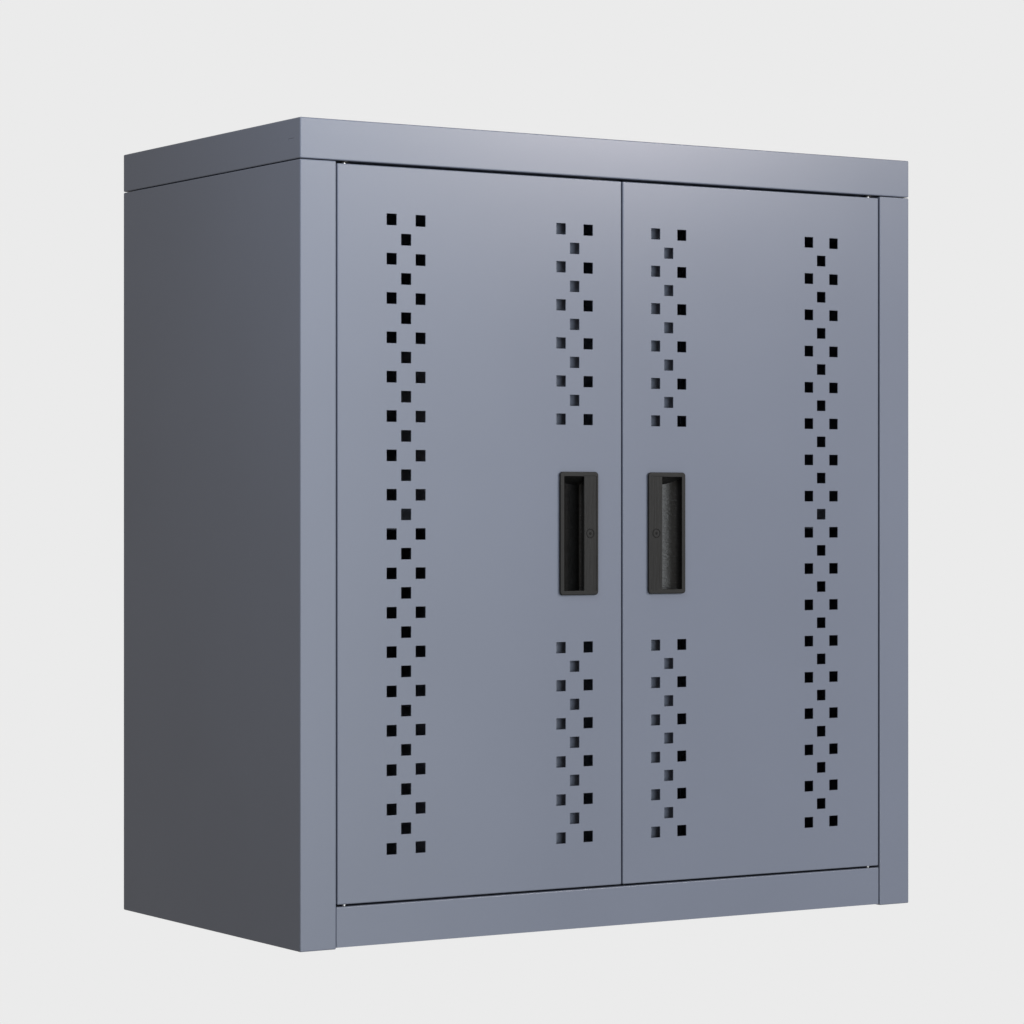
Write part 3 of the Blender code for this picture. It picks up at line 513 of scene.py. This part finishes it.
def make_top_panel():
    low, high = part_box("top_panel")
    made = tray("top_panel_visual", low, high, (0, 0, -1), (TOP_RETURN, TOP_RETURN, 0))
    rods = []
    for side in SIDES.values():
        rods.append((Vector((side * HINGE_X, HINGE_Y, low.z)), BUSH_HOLE, THROUGH))
        rods.append((Vector((side * CATCH_X, CATCH_Y, low.z)), CATCH_HOLE, THROUGH))
        for end in ENDS.values():
            rods.append((Vector((side * BOLT_X, CASE_MIDDLE_Y + end * BOLT_Y, low.z)), BOLT_HOLE, THROUGH))
    cut_rods(made, "holes", rods, "Z")
    mark_y = low.y + TAB_MARK_FROM_EDGE
    middle = (low.z + high.z) / 2
    marks = [(Vector((side * HALF_WIDTH, mark_y, middle)), TAB_MARK) for side in SIDES.values()]
    cut_boxes(made, "tab_marks", marks)
    round_edges(made, PAINT_EDGE, 1)
    return dress(settle(made), "case", "case_paint", paint_case, "top_panel")


def make_bottom_panel():
    low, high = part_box("bottom_panel")
    made = tray("bottom_panel_visual", low, high, (0, 0, -1), (0, 0, 0))
    bushes = [(Vector((side * HINGE_X, HINGE_Y, high.z)), BUSH_HOLE, THROUGH) for side in SIDES.values()]
    cut_rods(made, "bush_holes", bushes, "Z")
    bolts = [
        (Vector((side * high.x, CASE_MIDDLE_Y + end * BOLT_Y, BASE_BOLT_Z)), BOLT_HOLE, THROUGH)
        for side in SIDES.values()
        for end in ENDS.values()
    ]
    cut_rods(made, "bolt_holes", bolts, "X")
    round_edges(made, PAINT_EDGE, 1)
    return dress(settle(made), "case", "case_paint", paint_case, "bottom_panel")


BACK_SCREW_HEIGHTS = {"upper": 0.590, "middle": 0.355, "lower": 0.110}
BACK_SCREW_Y = CASE_BACK - 0.012
BACK_SCREW_HOLE = 0.00205
LAND_RADIUS = 0.007  # raised lands round the top bolts' holes
LAND_HEIGHT = 0.0005
LAND_THROUGH = 0.008  # length of a cutter through a land and its sheet


def make_side_panel(side_name, side):
    node = f"{side_name}_side_panel"
    low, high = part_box(node)
    high.z = SIDE_TOP - LAND_HEIGHT  # the box of the node includes its lands
    made = tray(node + "_visual", low, high, (-side, 0, 0), (0, SIDE_RETURN, SIDE_RETURN))
    lands = []
    bolts = []
    cross = []
    for end in ENDS.values():
        y = CASE_MIDDLE_Y + end * BOLT_Y
        lands.append((Vector((side * BOLT_X, y, high.z)), LAND_RADIUS, 2 * LAND_HEIGHT))
        bolts.append((Vector((side * BOLT_X, y, high.z)), BOLT_HOLE, LAND_THROUGH))
        cross.append((Vector((side * SIDE_INNER, y, BASE_BOLT_Z)), BOLT_HOLE, THROUGH))
    cut_rods(made, "lands", lands, "Z", "UNION")
    cut_rods(made, "top_bolt_holes", bolts, "Z")
    for height in BACK_SCREW_HEIGHTS.values():
        cross.append((Vector((side * SIDE_INNER, BACK_SCREW_Y, height)), BACK_SCREW_HOLE, THROUGH))
    cut_rods(made, "cross_holes", cross, "X")
    slots = []
    for edge, inward in ((low.y, 1), (high.y, -1)):
        for step in range(SLOT_COUNT):
            y = edge + inward * SLOT_FROM_EDGE
            slots.append((Vector((side * SIDE_INNER, y, SLOT_FIRST + step * SLOT_PITCH)), SLOT_SIZE))
    cut_boxes(made, "shelf_slots", slots)
    round_edges(made, PAINT_EDGE, 1)
    return dress(settle(made), "case", "case_paint", paint_case, node)


WALL_HOLE_SPACING = 0.4064  # the usual spacing of wall studs, 16 inches
WALL_HOLE_UPPER = 0.625
WALL_HOLE_LOWER = 0.080
WALL_HOLE_RADIUS = 0.0035
KEYHOLE_ROUND = 0.0065
KEYHOLE_SLOT = 0.0070
KEYHOLE_RISE = 0.014
RAIL_GAUGE = 0.0015
RAIL_WELD_PITCH = 0.052


def cut_keyholes(made, y):
    """Two keyholes for the wall screws: a round mouth, and above it a slot with a round end."""
    outline = []
    slot_radius = KEYHOLE_SLOT / 2
    neck = math.asin(slot_radius / KEYHOLE_ROUND)
    mouth_steps = 24
    for step in range(mouth_steps + 1):
        angle = math.pi / 2 + neck + (math.tau - 2 * neck) * step / mouth_steps
        outline.append((KEYHOLE_ROUND * math.cos(angle), KEYHOLE_ROUND * math.sin(angle)))
    slot_steps = 12
    for step in range(slot_steps + 1):
        angle = math.pi * step / slot_steps
        outline.append((slot_radius * math.cos(angle), KEYHOLE_RISE + slot_radius * math.sin(angle)))
    shape = bmesh.new()
    for end in (-1, 1):
        middle = end * WALL_HOLE_SPACING / 2
        add_prism(
            shape,
            outline,
            lambda a, b, far: (middle + a, y + THROUGH * (2 * far - 1), WALL_HOLE_UPPER + b),
        )
    return cut(made, shape, "keyholes")


def make_back_panel():
    low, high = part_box("back_panel")
    made = tray("back_panel_visual", low, high, (0, -1, 0), (0, 0, 0))
    cut_keyholes(made, high.y)
    lower = [
        (Vector((end * WALL_HOLE_SPACING / 2, high.y, WALL_HOLE_LOWER)), WALL_HOLE_RADIUS, THROUGH)
        for end in (-1, 1)
    ]
    cut_rods(made, "lower_wall_holes", lower, "Y")
    screws = [
        (Vector((side * high.x, BACK_SCREW_Y, height)), BACK_SCREW_HOLE, THROUGH)
        for side in SIDES.values()
        for height in BACK_SCREW_HEIGHTS.values()
    ]
    cut_rods(made, "screw_holes", screws, "X")
    welds = [
        Vector((step * RAIL_WELD_PITCH, high.y, height))
        for height in (WALL_HOLE_UPPER - 0.013, WALL_HOLE_UPPER + 0.020)
        for step in (-5, -3, -2, -1, 0, 1, 2, 3, 5)
    ]
    dimples(made, "spot_welds", welds, "Y")
    round_edges(made, PAINT_EDGE, 1)
    return dress(settle(made), "case", "case_paint", paint_case, "back_panel")


def make_hanging_rail():
    low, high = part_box("hanging_rail")
    web = high.y - RAIL_GAUGE / 2
    lip = low.y
    bottom = low.z + RAIL_GAUGE / 2
    top = high.z - RAIL_GAUGE / 2
    corners = ((lip, top), (web, top), (web, bottom), (lip, bottom))
    profile = [Vector((low.x, y, z)) for y, z in corners]
    made = strip("hanging_rail_visual", profile, (high.x - low.x, 0, 0), RAIL_GAUGE)
    cut_keyholes(made, web)
    round_edges(made, PAINT_EDGE, 1)
    return dress(settle(made), "case", "case_paint", paint_case, "hanging_rail")


def make_shelf():
    """The shelf, and the hat channel that is spot-welded under it."""
    low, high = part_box("shelf")
    made = tray("shelf_visual", low, high, (0, 0, -1), (SHELF_RETURN, SHELF_RETURN, 0))
    round_edges(made, PAINT_EDGE, 1)
    dress(settle(made), "case", "case_paint", paint_case, "shelf")

    low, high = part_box("shelf_stiffener")
    top = high.z - SHEET / 2
    bottom = low.z + SHEET / 2
    middle = (low.y + high.y) / 2
    corners = ((-0.032, top), (-0.020, top), (-0.016, bottom), (0.016, bottom), (0.020, top), (0.032, top))
    profile = [Vector((low.x, middle + y, z)) for y, z in corners]
    made = strip("shelf_stiffener_visual", profile, (high.x - low.x, 0, 0))
    welds = [
        Vector((0.045 * step, middle + y, top - SHEET / 2))
        for y in (-0.0265, 0.0265)
        for step in range(-6, 7)
    ]
    dimples(made, "spot_welds", welds, "-Z")
    round_edges(made, PAINT_EDGE, 1)
    return dress(settle(made), "case", "case_paint", paint_case, "shelf_stiffener")


def make_shelf_clip(side_name, side, end_name):
    """A strip that hooks through a slot, hangs down the side panel and turns in to a ledge."""
    node = f"shelf_clip_{end_name}_{side_name}"
    low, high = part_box(node)
    near = min(abs(low.x), abs(high.x))
    hook = max(abs(low.x), abs(high.x)) - SHEET / 2
    wall = SIDE_INNER - FIT - SHEET / 2
    top = high.z - SHEET / 2
    ledge = low.z + SHEET / 2
    hook_end = top - 0.008
    corners = ((hook, hook_end), (hook, top), (wall, top), (wall, ledge), (near, ledge))
    profile = [Vector((side * x, low.y, z)) for x, z in corners]
    made = strip(node + "_visual", profile, (0, high.y - low.y, 0), SHEET, 0.0006)
    round_edges(made, 0.0002, 2)
    return dress(settle(made), "case", "zinc_clip", zinc_sheet, node)


# ------------------------------------------------------------------ doors
HOLE = 0.010
HOLE_CORNER = 0.0004
HOLE_PITCH = 0.034
HOLE_COLUMN_STEP = 0.0145
OUTER_BAND = 0.2255
INNER_BAND = 0.0512
PATTERN_MIDDLE = 0.3550
OUTER_ROWS = 17
INNER_ROWS = 6
STIFFENER_MOUTH = 0.0150
STIFFENER_CROWN = 0.0140
STIFFENER_WELD = 0.0170  # spot welds, from the middle of the stiffener
PIN_HOLE = 0.0023


def perforations():
    """(distance from the cabinet's centre, height) of each square hole of one door."""
    holes = []
    outermost = (OUTER_ROWS - 1) / 2 * HOLE_PITCH
    for column in (-1, 0, 1):
        drop = HOLE_PITCH / 2 if column == 0 else 0.0
        count = OUTER_ROWS - (column == 0)
        heights = [PATTERN_MIDDLE + outermost - drop - row * HOLE_PITCH for row in range(count)]
        holes += [(OUTER_BAND + column * HOLE_COLUMN_STEP, height) for height in heights]
        count = INNER_ROWS - (column == 0)
        for half in (-1, 1):
            offsets = [half * (outermost - drop - row * HOLE_PITCH) for row in range(count)]
            x = INNER_BAND + column * HOLE_COLUMN_STEP
            holes += [(x, PATTERN_MIDDLE + offset) for offset in offsets]
    return holes


def make_door_panel(side_name, side):
    node = f"{side_name}_door_panel"
    low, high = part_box(node)
    made = tray(node + "_visual", low, high, (0, 1, 0), (DOOR_RETURN, 0, DOOR_RETURN))
    corners = rounded_outline(HOLE / 2, HOLE / 2, HOLE_CORNER, 2)
    shape = bmesh.new()
    for distance, height in perforations():
        x = side * distance
        add_prism(shape, corners, lambda a, b, far: (x + a, low.y + THROUGH * (far - 0.5), height + b))
    cut(made, shape, "perforations")
    inside, outside = handle_cutout(side_name)
    centre = Vector(((inside + outside) / 2, low.y, HANDLE_MIDDLE))
    size = (abs(outside - inside), THROUGH, 2 * HANDLE_CUTOUT_HALF)
    cut_boxes(made, "handle_cutout", [(centre, size)])
    pins = [(Vector((side * HINGE_X, HINGE_Y, height)), PIN_HOLE, THROUGH) for height in (low.z, high.z)]
    cut_rods(made, "pin_holes", pins, "Z")
    welds = [
        Vector((side * (INNER_BAND + x), high.y, height))
        for x in (-STIFFENER_WELD, STIFFENER_WELD)
        for height in (low.z + DOOR_RETURN / 2, high.z - DOOR_RETURN / 2)
    ]
    dimples(made, "spot_welds", welds, "Y", 0.0016, 0.00015)
    round_edges(made, PAINT_EDGE, 1)
    return dress(settle(made), f"{side_name}_door", "door_paint", paint_door, node)


def make_door_stiffener(side_name, side):
    """A shallow hat channel behind the inner band, spot-welded to the door's folded ends."""
    node = f"{side_name}_door_stiffener"
    low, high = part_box(node)
    middle = (low.x + high.x) / 2
    crown_y = low.y + SHEET / 2
    lip_y = high.y - SHEET / 2
    half = (((high.x - low.x) / 2, lip_y), (STIFFENER_MOUTH, lip_y), (STIFFENER_CROWN, crown_y))
    corners = [(-x, y) for x, y in half] + list(reversed(half))
    profile = [Vector((middle + side * x, y, low.z)) for x, y in corners]
    made = strip(node + "_visual", profile, (0, 0, high.z - low.z))
    window_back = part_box(f"{side_name}_handle")[1].y + FIT
    window_middle = Vector((middle, (low.y - SHEET + window_back) / 2, HANDLE_MIDDLE))
    window_size = (high.x - low.x, window_back - low.y + SHEET, 2 * HANDLE_CUTOUT_HALF)
    cut_boxes(made, "pull_window", [(window_middle, window_size)])
    round_edges(made, PAINT_EDGE, 1)
    return dress(settle(made), f"{side_name}_door", "door_paint", paint_door, node)


# ------------------------------------------------------------------ recessed pulls
HANDLE_PLATE = 0.0151  # from the pull's inner edge to the recess's opening
HANDLE_PLATE_THICKNESS = 0.0022
RECESS_WIDTH = 0.0216
RECESS_HALF_HEIGHT = 0.0513
RECESS_DEPTH = 0.0152
RECESS_UNDERCUT = 0.008  # the recess reaches this far behind the plate
RECESS_DEEPEST = 0.003  # the deepest line lies this far behind the plate's edge
RECESS_TOP_SLOPE = 0.5  # the recess gets shorter at its top by this much of its depth
HANDLE_WALL = 0.0018
HANDLE_BODY_DEPTH = 0.0167
HANDLE_CORNER = 0.003
PLATE_BORDER = 0.0022
PLATE_DROP = 0.0004  # the plate lies this far behind the bezel's face
MARGIN = 0.001  # by which cutters and joined bodies overlap the bezel
handle_low, handle_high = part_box("right_handle")
HANDLE_MIDDLE = (handle_low.z + handle_high.z) / 2
HANDLE_CUTOUT_HALF = RECESS_HALF_HEIGHT + HANDLE_WALL + FIT


def handle_cutout(side_name):
    """The two x of a door's cut-out for its handle."""
    low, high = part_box(f"{side_name}_handle")
    inner = min(abs(low.x), abs(high.x)) + HANDLE_PLATE - RECESS_UNDERCUT - HANDLE_WALL - FIT
    outer = min(abs(low.x), abs(high.x)) + HANDLE_PLATE + RECESS_WIDTH + HANDLE_WALL + FIT
    side = SIDES[side_name]
    return side * inner, side * outer


def recess_outline(inner, front):
    """The finger recess in plan: a long slope in from the outer rim, and a tight round behind the plate."""
    opening_near = inner + HANDLE_PLATE
    opening_far = opening_near + RECESS_WIDTH
    back_end = opening_near - RECESS_UNDERCUT
    deepest = opening_near - RECESS_DEEPEST
    plate_back = front + HANDLE_PLATE_THICKNESS
    spring = plate_back + 0.0008
    points = [(opening_near, front - 2 * MARGIN), (opening_far, front - 2 * MARGIN)]
    steps = 40
    for step in range(steps + 1):
        angle = math.pi * step / steps
        half = opening_far - deepest if 2 * step < steps else deepest - back_end
        x = deepest + half * math.cos(angle)
        y = spring + (front + RECESS_DEPTH - spring) * math.sin(angle)
        points.append((x, y))
    points.append((back_end, plate_back))
    points.append((opening_near, plate_back))
    return points


def make_handle(side_name, side):
    """A recessed pull: a bezel with a body behind it, a sunk plate and the finger recess."""
    node = f"{side_name}_handle"
    low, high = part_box(node)
    inner = min(abs(low.x), abs(high.x))
    outer = max(abs(low.x), abs(high.x))
    front = low.y
    back_of_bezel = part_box(f"{side_name}_door_panel")[0].y - FIT
    middle = Vector(((low.x + high.x) / 2, 0, HANDLE_MIDDLE))

    shape = bmesh.new()
    outline = rounded_outline((outer - inner) / 2, (high.z - low.z) / 2, HANDLE_CORNER, 8)
    add_prism(
        shape,
        outline,
        lambda a, b, far: (middle.x + a, front + (back_of_bezel - front) * far, middle.z + b),
    )
    bmesh.ops.recalc_face_normals(shape, faces=shape.faces)
    made = object_from(shape, node + "_visual")
    round_edges(made, 0.0009, 4, 60)

    inside, outside = handle_cutout(side_name)
    inside += side * FIT
    outside -= side * FIT
    shape = bmesh.new()
    body_low = front + MARGIN
    body_high = front + HANDLE_BODY_DEPTH
    centre = Vector(((inside + outside) / 2, (body_low + body_high) / 2, HANDLE_MIDDLE))
    size = (abs(outside - inside), body_high - body_low, 2 * (RECESS_HALF_HEIGHT + HANDLE_WALL))
    add_box(shape, centre, size)
    cut(made, shape, "body", "UNION")

    shape = bmesh.new()
    plate_near = inner + PLATE_BORDER
    plate_far = inner + HANDLE_PLATE + MARGIN
    plate_y = front + PLATE_DROP
    centre = Vector((side * (plate_near + plate_far) / 2, plate_y - MARGIN, HANDLE_MIDDLE))
    add_box(shape, centre, (plate_far - plate_near, 2 * MARGIN, 2 * (RECESS_HALF_HEIGHT + 0.0004)))
    cut(made, shape, "plate")

    shape = bmesh.new()
    add_prism(
        shape,
        recess_outline(inner, front),
        lambda a, b, far: (
            side * a,
            b,
            HANDLE_MIDDLE + RECESS_HALF_HEIGHT * (2 * far - 1) - RECESS_TOP_SLOPE * (b - front) * far,
        ),
    )
    cut(made, shape, "recess")
    round_edges(made, 0.00016, 2, 50)
    settle(made)
    dress(made, f"{side_name}_door", "black_plastic", pull_plastic, node)
    made.data.materials.append(plate_plastic)
    made.data.materials.append(cup_plastic)
    # Faces inside the recess take the darker cup plastic: painted shade in the recess.
    cup_near = inner + HANDLE_PLATE - RECESS_UNDERCUT - FIT
    cup_far = inner + HANDLE_PLATE + RECESS_WIDTH + FIT
    for face in made.data.polygons:
        centre = face.center
        x = side * centre.x
        on_plate = plate_near < x < plate_far and math.isclose(centre.y, plate_y, abs_tol=0.00002)
        behind_face = 0.0006 < centre.y - front < RECESS_DEPTH + FIT
        in_height = abs(centre.z - HANDLE_MIDDLE) < RECESS_HALF_HEIGHT + FIT
        in_cup = behind_face and in_height and cup_near < x < cup_far
        face.material_index = 1 if on_plate else 2 if in_cup else 0
    return made


def make_handle_mark(side_name, side):
    """A plain raised ring and dot on a pull's plate."""
    low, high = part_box(f"{side_name}_handle")
    inner = min(abs(low.x), abs(high.x))
    x = side * (inner + 0.5 * (PLATE_BORDER + HANDLE_PLATE))
    y = low.y + PLATE_DROP
    place = Matrix.Translation((x, y, HANDLE_MIDDLE)) @ Matrix.Rotation(math.pi / 2, 4, "X")
    height = 0.00026
    sunk = -0.0002
    ring = [
        (0.0043, sunk),
        (0.0043, height * 0.6),
        (0.0041, height),
        (0.0036, height),
        (0.0034, height * 0.6),
        (0.0034, sunk),
    ]
    made = turned(f"{side_name}_handle_ring", ring, place, 48, closed=True)
    dress(settle(made, 60), f"{side_name}_door", "black_plastic", mark_plastic)
    dot = [(0, height), (0.0009, height), (0.0012, height * 0.6), (0.0013, sunk), (0, sunk)]
    made = turned(f"{side_name}_handle_dot", dot, place, 32)
    dress(settle(made, 60), f"{side_name}_door", "black_plastic", mark_plastic)


# ------------------------------------------------------------------ pins, bushes, screws
def upright_place(node):
    """The matrix that puts a piece's own origin at the middle of a CAD node's lower end."""
    low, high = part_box(node)
    return Matrix.Translation(((low.x + high.x) / 2, (low.y + high.y) / 2, low.z)), high.z - low.z


def make_pin(side_name, at_top):
    node = f"{side_name}_hinge_pin_{'top' if at_top else 'bottom'}"
    place, length = upright_place(node)
    radius = 0.0020
    head_radius = 0.0034
    head = 0.0025
    profile = [
        (0, 0),
        (head_radius - 0.0005, 0),
        (head_radius, 0.0005),
        (head_radius, head - 0.0003),
        (head_radius - 0.0003, head),
        (radius + 0.0003, head),
        (radius, head + 0.0003),
        (radius, length - 0.0012),
        (radius * 0.6, length),
        (0, length),
    ]
    if not at_top:
        profile = [(r, length - z) for r, z in profile]
    made = turned(node + "_visual", profile, place)
    return dress(settle(made), f"{side_name}_door", "pin_steel", pin_metal, node)


def make_bush(side_name, at_top):
    node = f"hinge_bush_{'top' if at_top else 'bottom'}_{side_name}"
    place, length = upright_place(node)
    bore = 0.0023
    outer = 0.0032
    if at_top:
        collar_high = 0.0009
        collar = 0.0042
        profile = [
            (bore, length - 0.0003),
            (bore + 0.0003, length),
            (outer - 0.0002, length),
            (outer, length - 0.0002),
            (outer, collar_high),
            (collar - 0.0002, collar_high),
            (collar, collar_high - 0.0002),
            (collar, 0.0002),
            (collar - 0.0002, 0),
            (bore + 0.0002, 0),
            (bore, 0.0002),
        ]
        made = turned(node + "_visual", profile, place, closed=True)
    else:
        floor = 0.0018
        profile = [
            (0, floor),
            (bore, floor),
            (bore, length - 0.0002),
            (bore + 0.0002, length),
            (outer - 0.0002, length),
            (outer, length - 0.0002),
            (outer, 0.0004),
            (outer - 0.0004, 0),
            (0, 0),
        ]
        made = turned(node + "_visual", profile, place)
    return dress(settle(made), "case", "dark_nylon", nylon, node)


def make_screw(node, along, radius, head_radius, head_height):
    """A pan-head screw with a cross recess. along is the direction that its shank runs in."""
    low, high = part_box(node)
    along = Vector(along)
    middle = (low + high) / 2
    depth = [axis for axis in range(3) if along[axis]][0]
    total = high[depth] - low[depth]
    length = total - head_height
    seat = middle - along * (total / 2 - head_height)
    profile = [
        (0, head_height),
        (head_radius * 0.45, head_height * 0.98),
        (head_radius * 0.75, head_height * 0.86),
        (head_radius * 0.93, head_height * 0.58),
        (head_radius, head_height * 0.25),
        (head_radius, 0),
        (radius, 0),
    ]
    pitch = 0.0008
    turns = int((length - radius) / pitch)
    for turn in range(turns):
        top = -turn * pitch - 0.0002
        profile += [(radius, top), (radius * 0.86, top - pitch * 0.45)]
    profile += [(radius * 0.9, -length + radius), (radius * 0.45, -length), (0, -length)]
    place = Matrix.Translation(seat) @ along.to_track_quat("-Z", "Y").to_matrix().to_4x4()
    made = turned(node + "_visual", profile, place)
    shape = bmesh.new()
    width = head_radius * 0.26
    for size in ((head_radius * 1.05, width, head_height), (width, head_radius * 1.05, head_height)):
        add_box(shape, (0, 0, head_height), size)
    shape.transform(place)
    cut(made, shape, "cross")
    made.modifiers["cross"].use_self = True
    return dress(settle(made), "case", "zinc_fastener", zinc, node)


def make_nut(node):
    low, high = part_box(node)
    middle = (low + high) / 2
    shape = bmesh.new()
    add_rod(shape, middle, (high.z - low.z) / 2, high.x - low.x, "X", 6)
    made = object_from(shape, node + "_visual")
    cut_rods(made, "thread", [(middle, 0.0024, 0.02)], "X")
    round_edges(made, 0.0003, 2)
    return dress(settle(made), "case", "zinc_fastener", zinc, node)


# radius, head's radius and head's height of each kind of screw
BOLT_SIZE = (0.0025, 0.0048, 0.0030)
BACK_SCREW_SIZE = (0.00175, 0.0034, 0.0020)
CATCH_SCREW_SIZE = (0.0015, 0.0032, 0.0022)


def make_fasteners():
    for side_name, side in SIDES.items():
        up = (0, 0, 1)
        outward = (side, 0, 0)
        for end_name in ENDS:
            make_screw(f"top_bolt_{end_name}_{side_name}", up, *BOLT_SIZE)
            make_screw(f"base_bolt_{end_name}_{side_name}", outward, *BOLT_SIZE)
            make_nut(f"base_nut_{end_name}_{side_name}")
        for row in BACK_SCREW_HEIGHTS:
            make_screw(f"back_screw_{row}_{side_name}", outward, *BACK_SCREW_SIZE)
        make_screw(f"catch_screw_{side_name}", up, *CATCH_SCREW_SIZE)


# ------------------------------------------------------------------ magnetic catches
def make_catch(side_name, side):
    """A magnetic catch: a grooved case, and in its pocket a magnet between two pole plates."""
    node = f"catch_case_{side_name}"
    low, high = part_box(node)
    centre = (low + high) / 2
    shape = bmesh.new()
    add_box(shape, centre, high - low)
    made = object_from(shape, node + "_visual")
    round_edges(made, 0.0012, 3)
    magnet = f"catch_magnet_{side_name}"
    m_low, m_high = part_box(magnet)
    pocket = (m_high - m_low) + Vector((2 * FIT, 0.003, 2 * FIT))
    pocket_middle = Vector((centre.x, m_high.y + FIT - pocket.y / 2, centre.z))
    cut_boxes(made, "pocket", [(pocket_middle, pocket)])
    cut_rods(made, "screw_hole", [(Vector((side * CATCH_X, CATCH_Y, centre.z)), CATCH_HOLE, 0.03)], "Z")
    groove = (0.0012, 0.003, 0.02)
    grooves = [(Vector((centre.x + x, high.y, centre.z)), groove) for x in (-0.012, -0.008, 0.008, 0.012)]
    cut_boxes(made, "grooves", grooves)
    dress(settle(made), "case", "catch_plastic", catch_plastic, node)

    plate = 0.0010
    shape = bmesh.new()
    middle = (m_low + m_high) / 2
    size = m_high - m_low
    add_box(shape, middle, (size.x, size.y - 0.0006, size.z - 2 * plate - 0.0002))
    made = object_from(shape, magnet + "_visual")
    round_edges(made, 0.0002, 2)
    dress(settle(made), "case", "magnet", ferrite, magnet)
    for name, z in (("upper", m_high.z - plate / 2), ("lower", m_low.z + plate / 2)):
        shape = bmesh.new()
        add_box(shape, Vector((middle.x, middle.y, z)), (size.x, size.y, plate))
        made = object_from(shape, f"catch_pole_{name}_{side_name}")
        round_edges(made, 0.00015, 2)
        dress(settle(made), "case", "zinc_fastener", zinc)


# ------------------------------------------------------------------ all pieces
make_top_panel()
make_bottom_panel()
make_back_panel()
make_hanging_rail()
make_shelf()
for side_name, side in SIDES.items():
    make_side_panel(side_name, side)
    make_door_panel(side_name, side)
    make_door_stiffener(side_name, side)
    make_handle(side_name, side)
    make_handle_mark(side_name, side)
    make_catch(side_name, side)
    for at_top in (True, False):
        make_pin(side_name, at_top)
        make_bush(side_name, at_top)
    for end_name in ENDS:
        make_shelf_clip(side_name, side, end_name)
make_fasteners()
bpy.data.collections.remove(cutters)


# ------------------------------------------------------------------ floor, light, camera
FLOOR_RADIUS = 6.5
FLOOR_DROP = 1.4  # the cabinet hangs this far above the floor


def make_floor():
    shape = bmesh.new()
    bmesh.ops.create_circle(shape, cap_ends=True, segments=96, radius=FLOOR_RADIUS)
    bmesh.ops.translate(shape, verts=shape.verts, vec=(0, 0, -FLOOR_DROP))
    made = object_from(shape, "floor")
    surface, tree, shader = new_material("pale floor", 0.6)
    tone = remap(tree, noise(tree, 3.0, 4.0), 0.0, 1.0)
    pale = blend_colours(tree, tone, (0.78, 0.78, 0.78), (0.82, 0.82, 0.82))
    tree.links.new(pale, shader.inputs["Base Color"])
    made.data.materials.append(surface)


AIM = Vector((0.0, 0.0, 0.355))
RADIANCE_TO_WATTS = math.pi  # per square metre of a softbox
# each softbox's name, place, width, height and radiance
SOFTBOXES = (
    ("key", (1.32, -2.04, 1.24), 0.35, 0.26, (59.0, 55.1, 57.0)),
    ("key's left wing", (1.068, -2.203, 1.24), 0.35, 0.26, (13.3, 12.6, 10.4)),
    ("key's right wing", (1.572, -1.877, 1.24), 0.35, 0.26, (9.8, 9.8, 7.4)),
    ("edge light", (-0.74, -0.60, 1.13), 0.38, 0.60, (4.55, 4.78, 5.14)),
    ("fill", (0.66, -5.07, 0.78), 3.67, 3.67, (2.32, 2.48, 2.59)),
)
SKY_SEEN = (0.8308, 0.8308, 0.8308, 1.0)
SKY_LIGHT = (0.226, 0.211, 0.189, 1.0)
CAMERA_PLACE = (-1.6409, -2.6105, 0.3741)
CAMERA_TURN = math.radians(32.01)  # to the right of straight at the doors
CAMERA_LENS = 114.28
CAMERA_SENSOR = 36.0


def add_softbox(name, place, width, height, radiance):
    """A rectangular light aimed at the cabinet. The radiance is given for red, green and blue."""
    lamp = bpy.data.lights.new(name, "AREA")
    lamp.shape = "RECTANGLE"
    lamp.size = width
    lamp.size_y = height
    lamp.energy = max(radiance) * RADIANCE_TO_WATTS * width * height
    lamp.color = [channel / max(radiance) for channel in radiance]
    made = bpy.data.objects.new(name, lamp)
    made.location = place
    made.rotation_euler = (AIM - Vector(place)).to_track_quat("-Z", "Y").to_euler()
    made.visible_camera = False
    bpy.context.scene.collection.objects.link(made)


def make_world():
    """A white sky to look at, and a much dimmer one to light by."""
    world = bpy.data.worlds.new("studio")
    world.use_nodes = True
    tree = world.node_tree
    seen = tree.nodes["Background"]
    seen.inputs["Color"].default_value = SKY_SEEN
    light = tree.nodes.new("ShaderNodeBackground")
    light.inputs["Color"].default_value = SKY_LIGHT
    path = tree.nodes.new("ShaderNodeLightPath")
    mixed = tree.nodes.new("ShaderNodeMixShader")
    tree.links.new(path.outputs["Is Camera Ray"], mixed.inputs[0])
    tree.links.new(light.outputs[0], mixed.inputs[1])
    tree.links.new(seen.outputs[0], mixed.inputs[2])
    tree.links.new(mixed.outputs[0], tree.nodes["World Output"].inputs["Surface"])
    bpy.context.scene.world = world


def make_camera():
    """Level, at the cabinet's middle height, to the left of its front."""
    data = bpy.data.cameras.new("camera")
    data.lens = CAMERA_LENS
    data.sensor_width = CAMERA_SENSOR
    made = bpy.data.objects.new("camera", data)
    made.location = CAMERA_PLACE
    made.rotation_euler = (math.pi / 2, 0.0, -CAMERA_TURN)
    bpy.context.scene.collection.objects.link(made)
    bpy.context.scene.camera = made


make_floor()
for softbox in SOFTBOXES:
    add_softbox(*softbox)
make_world()
make_camera()
bpy.context.scene.view_settings.view_transform = "Standard"
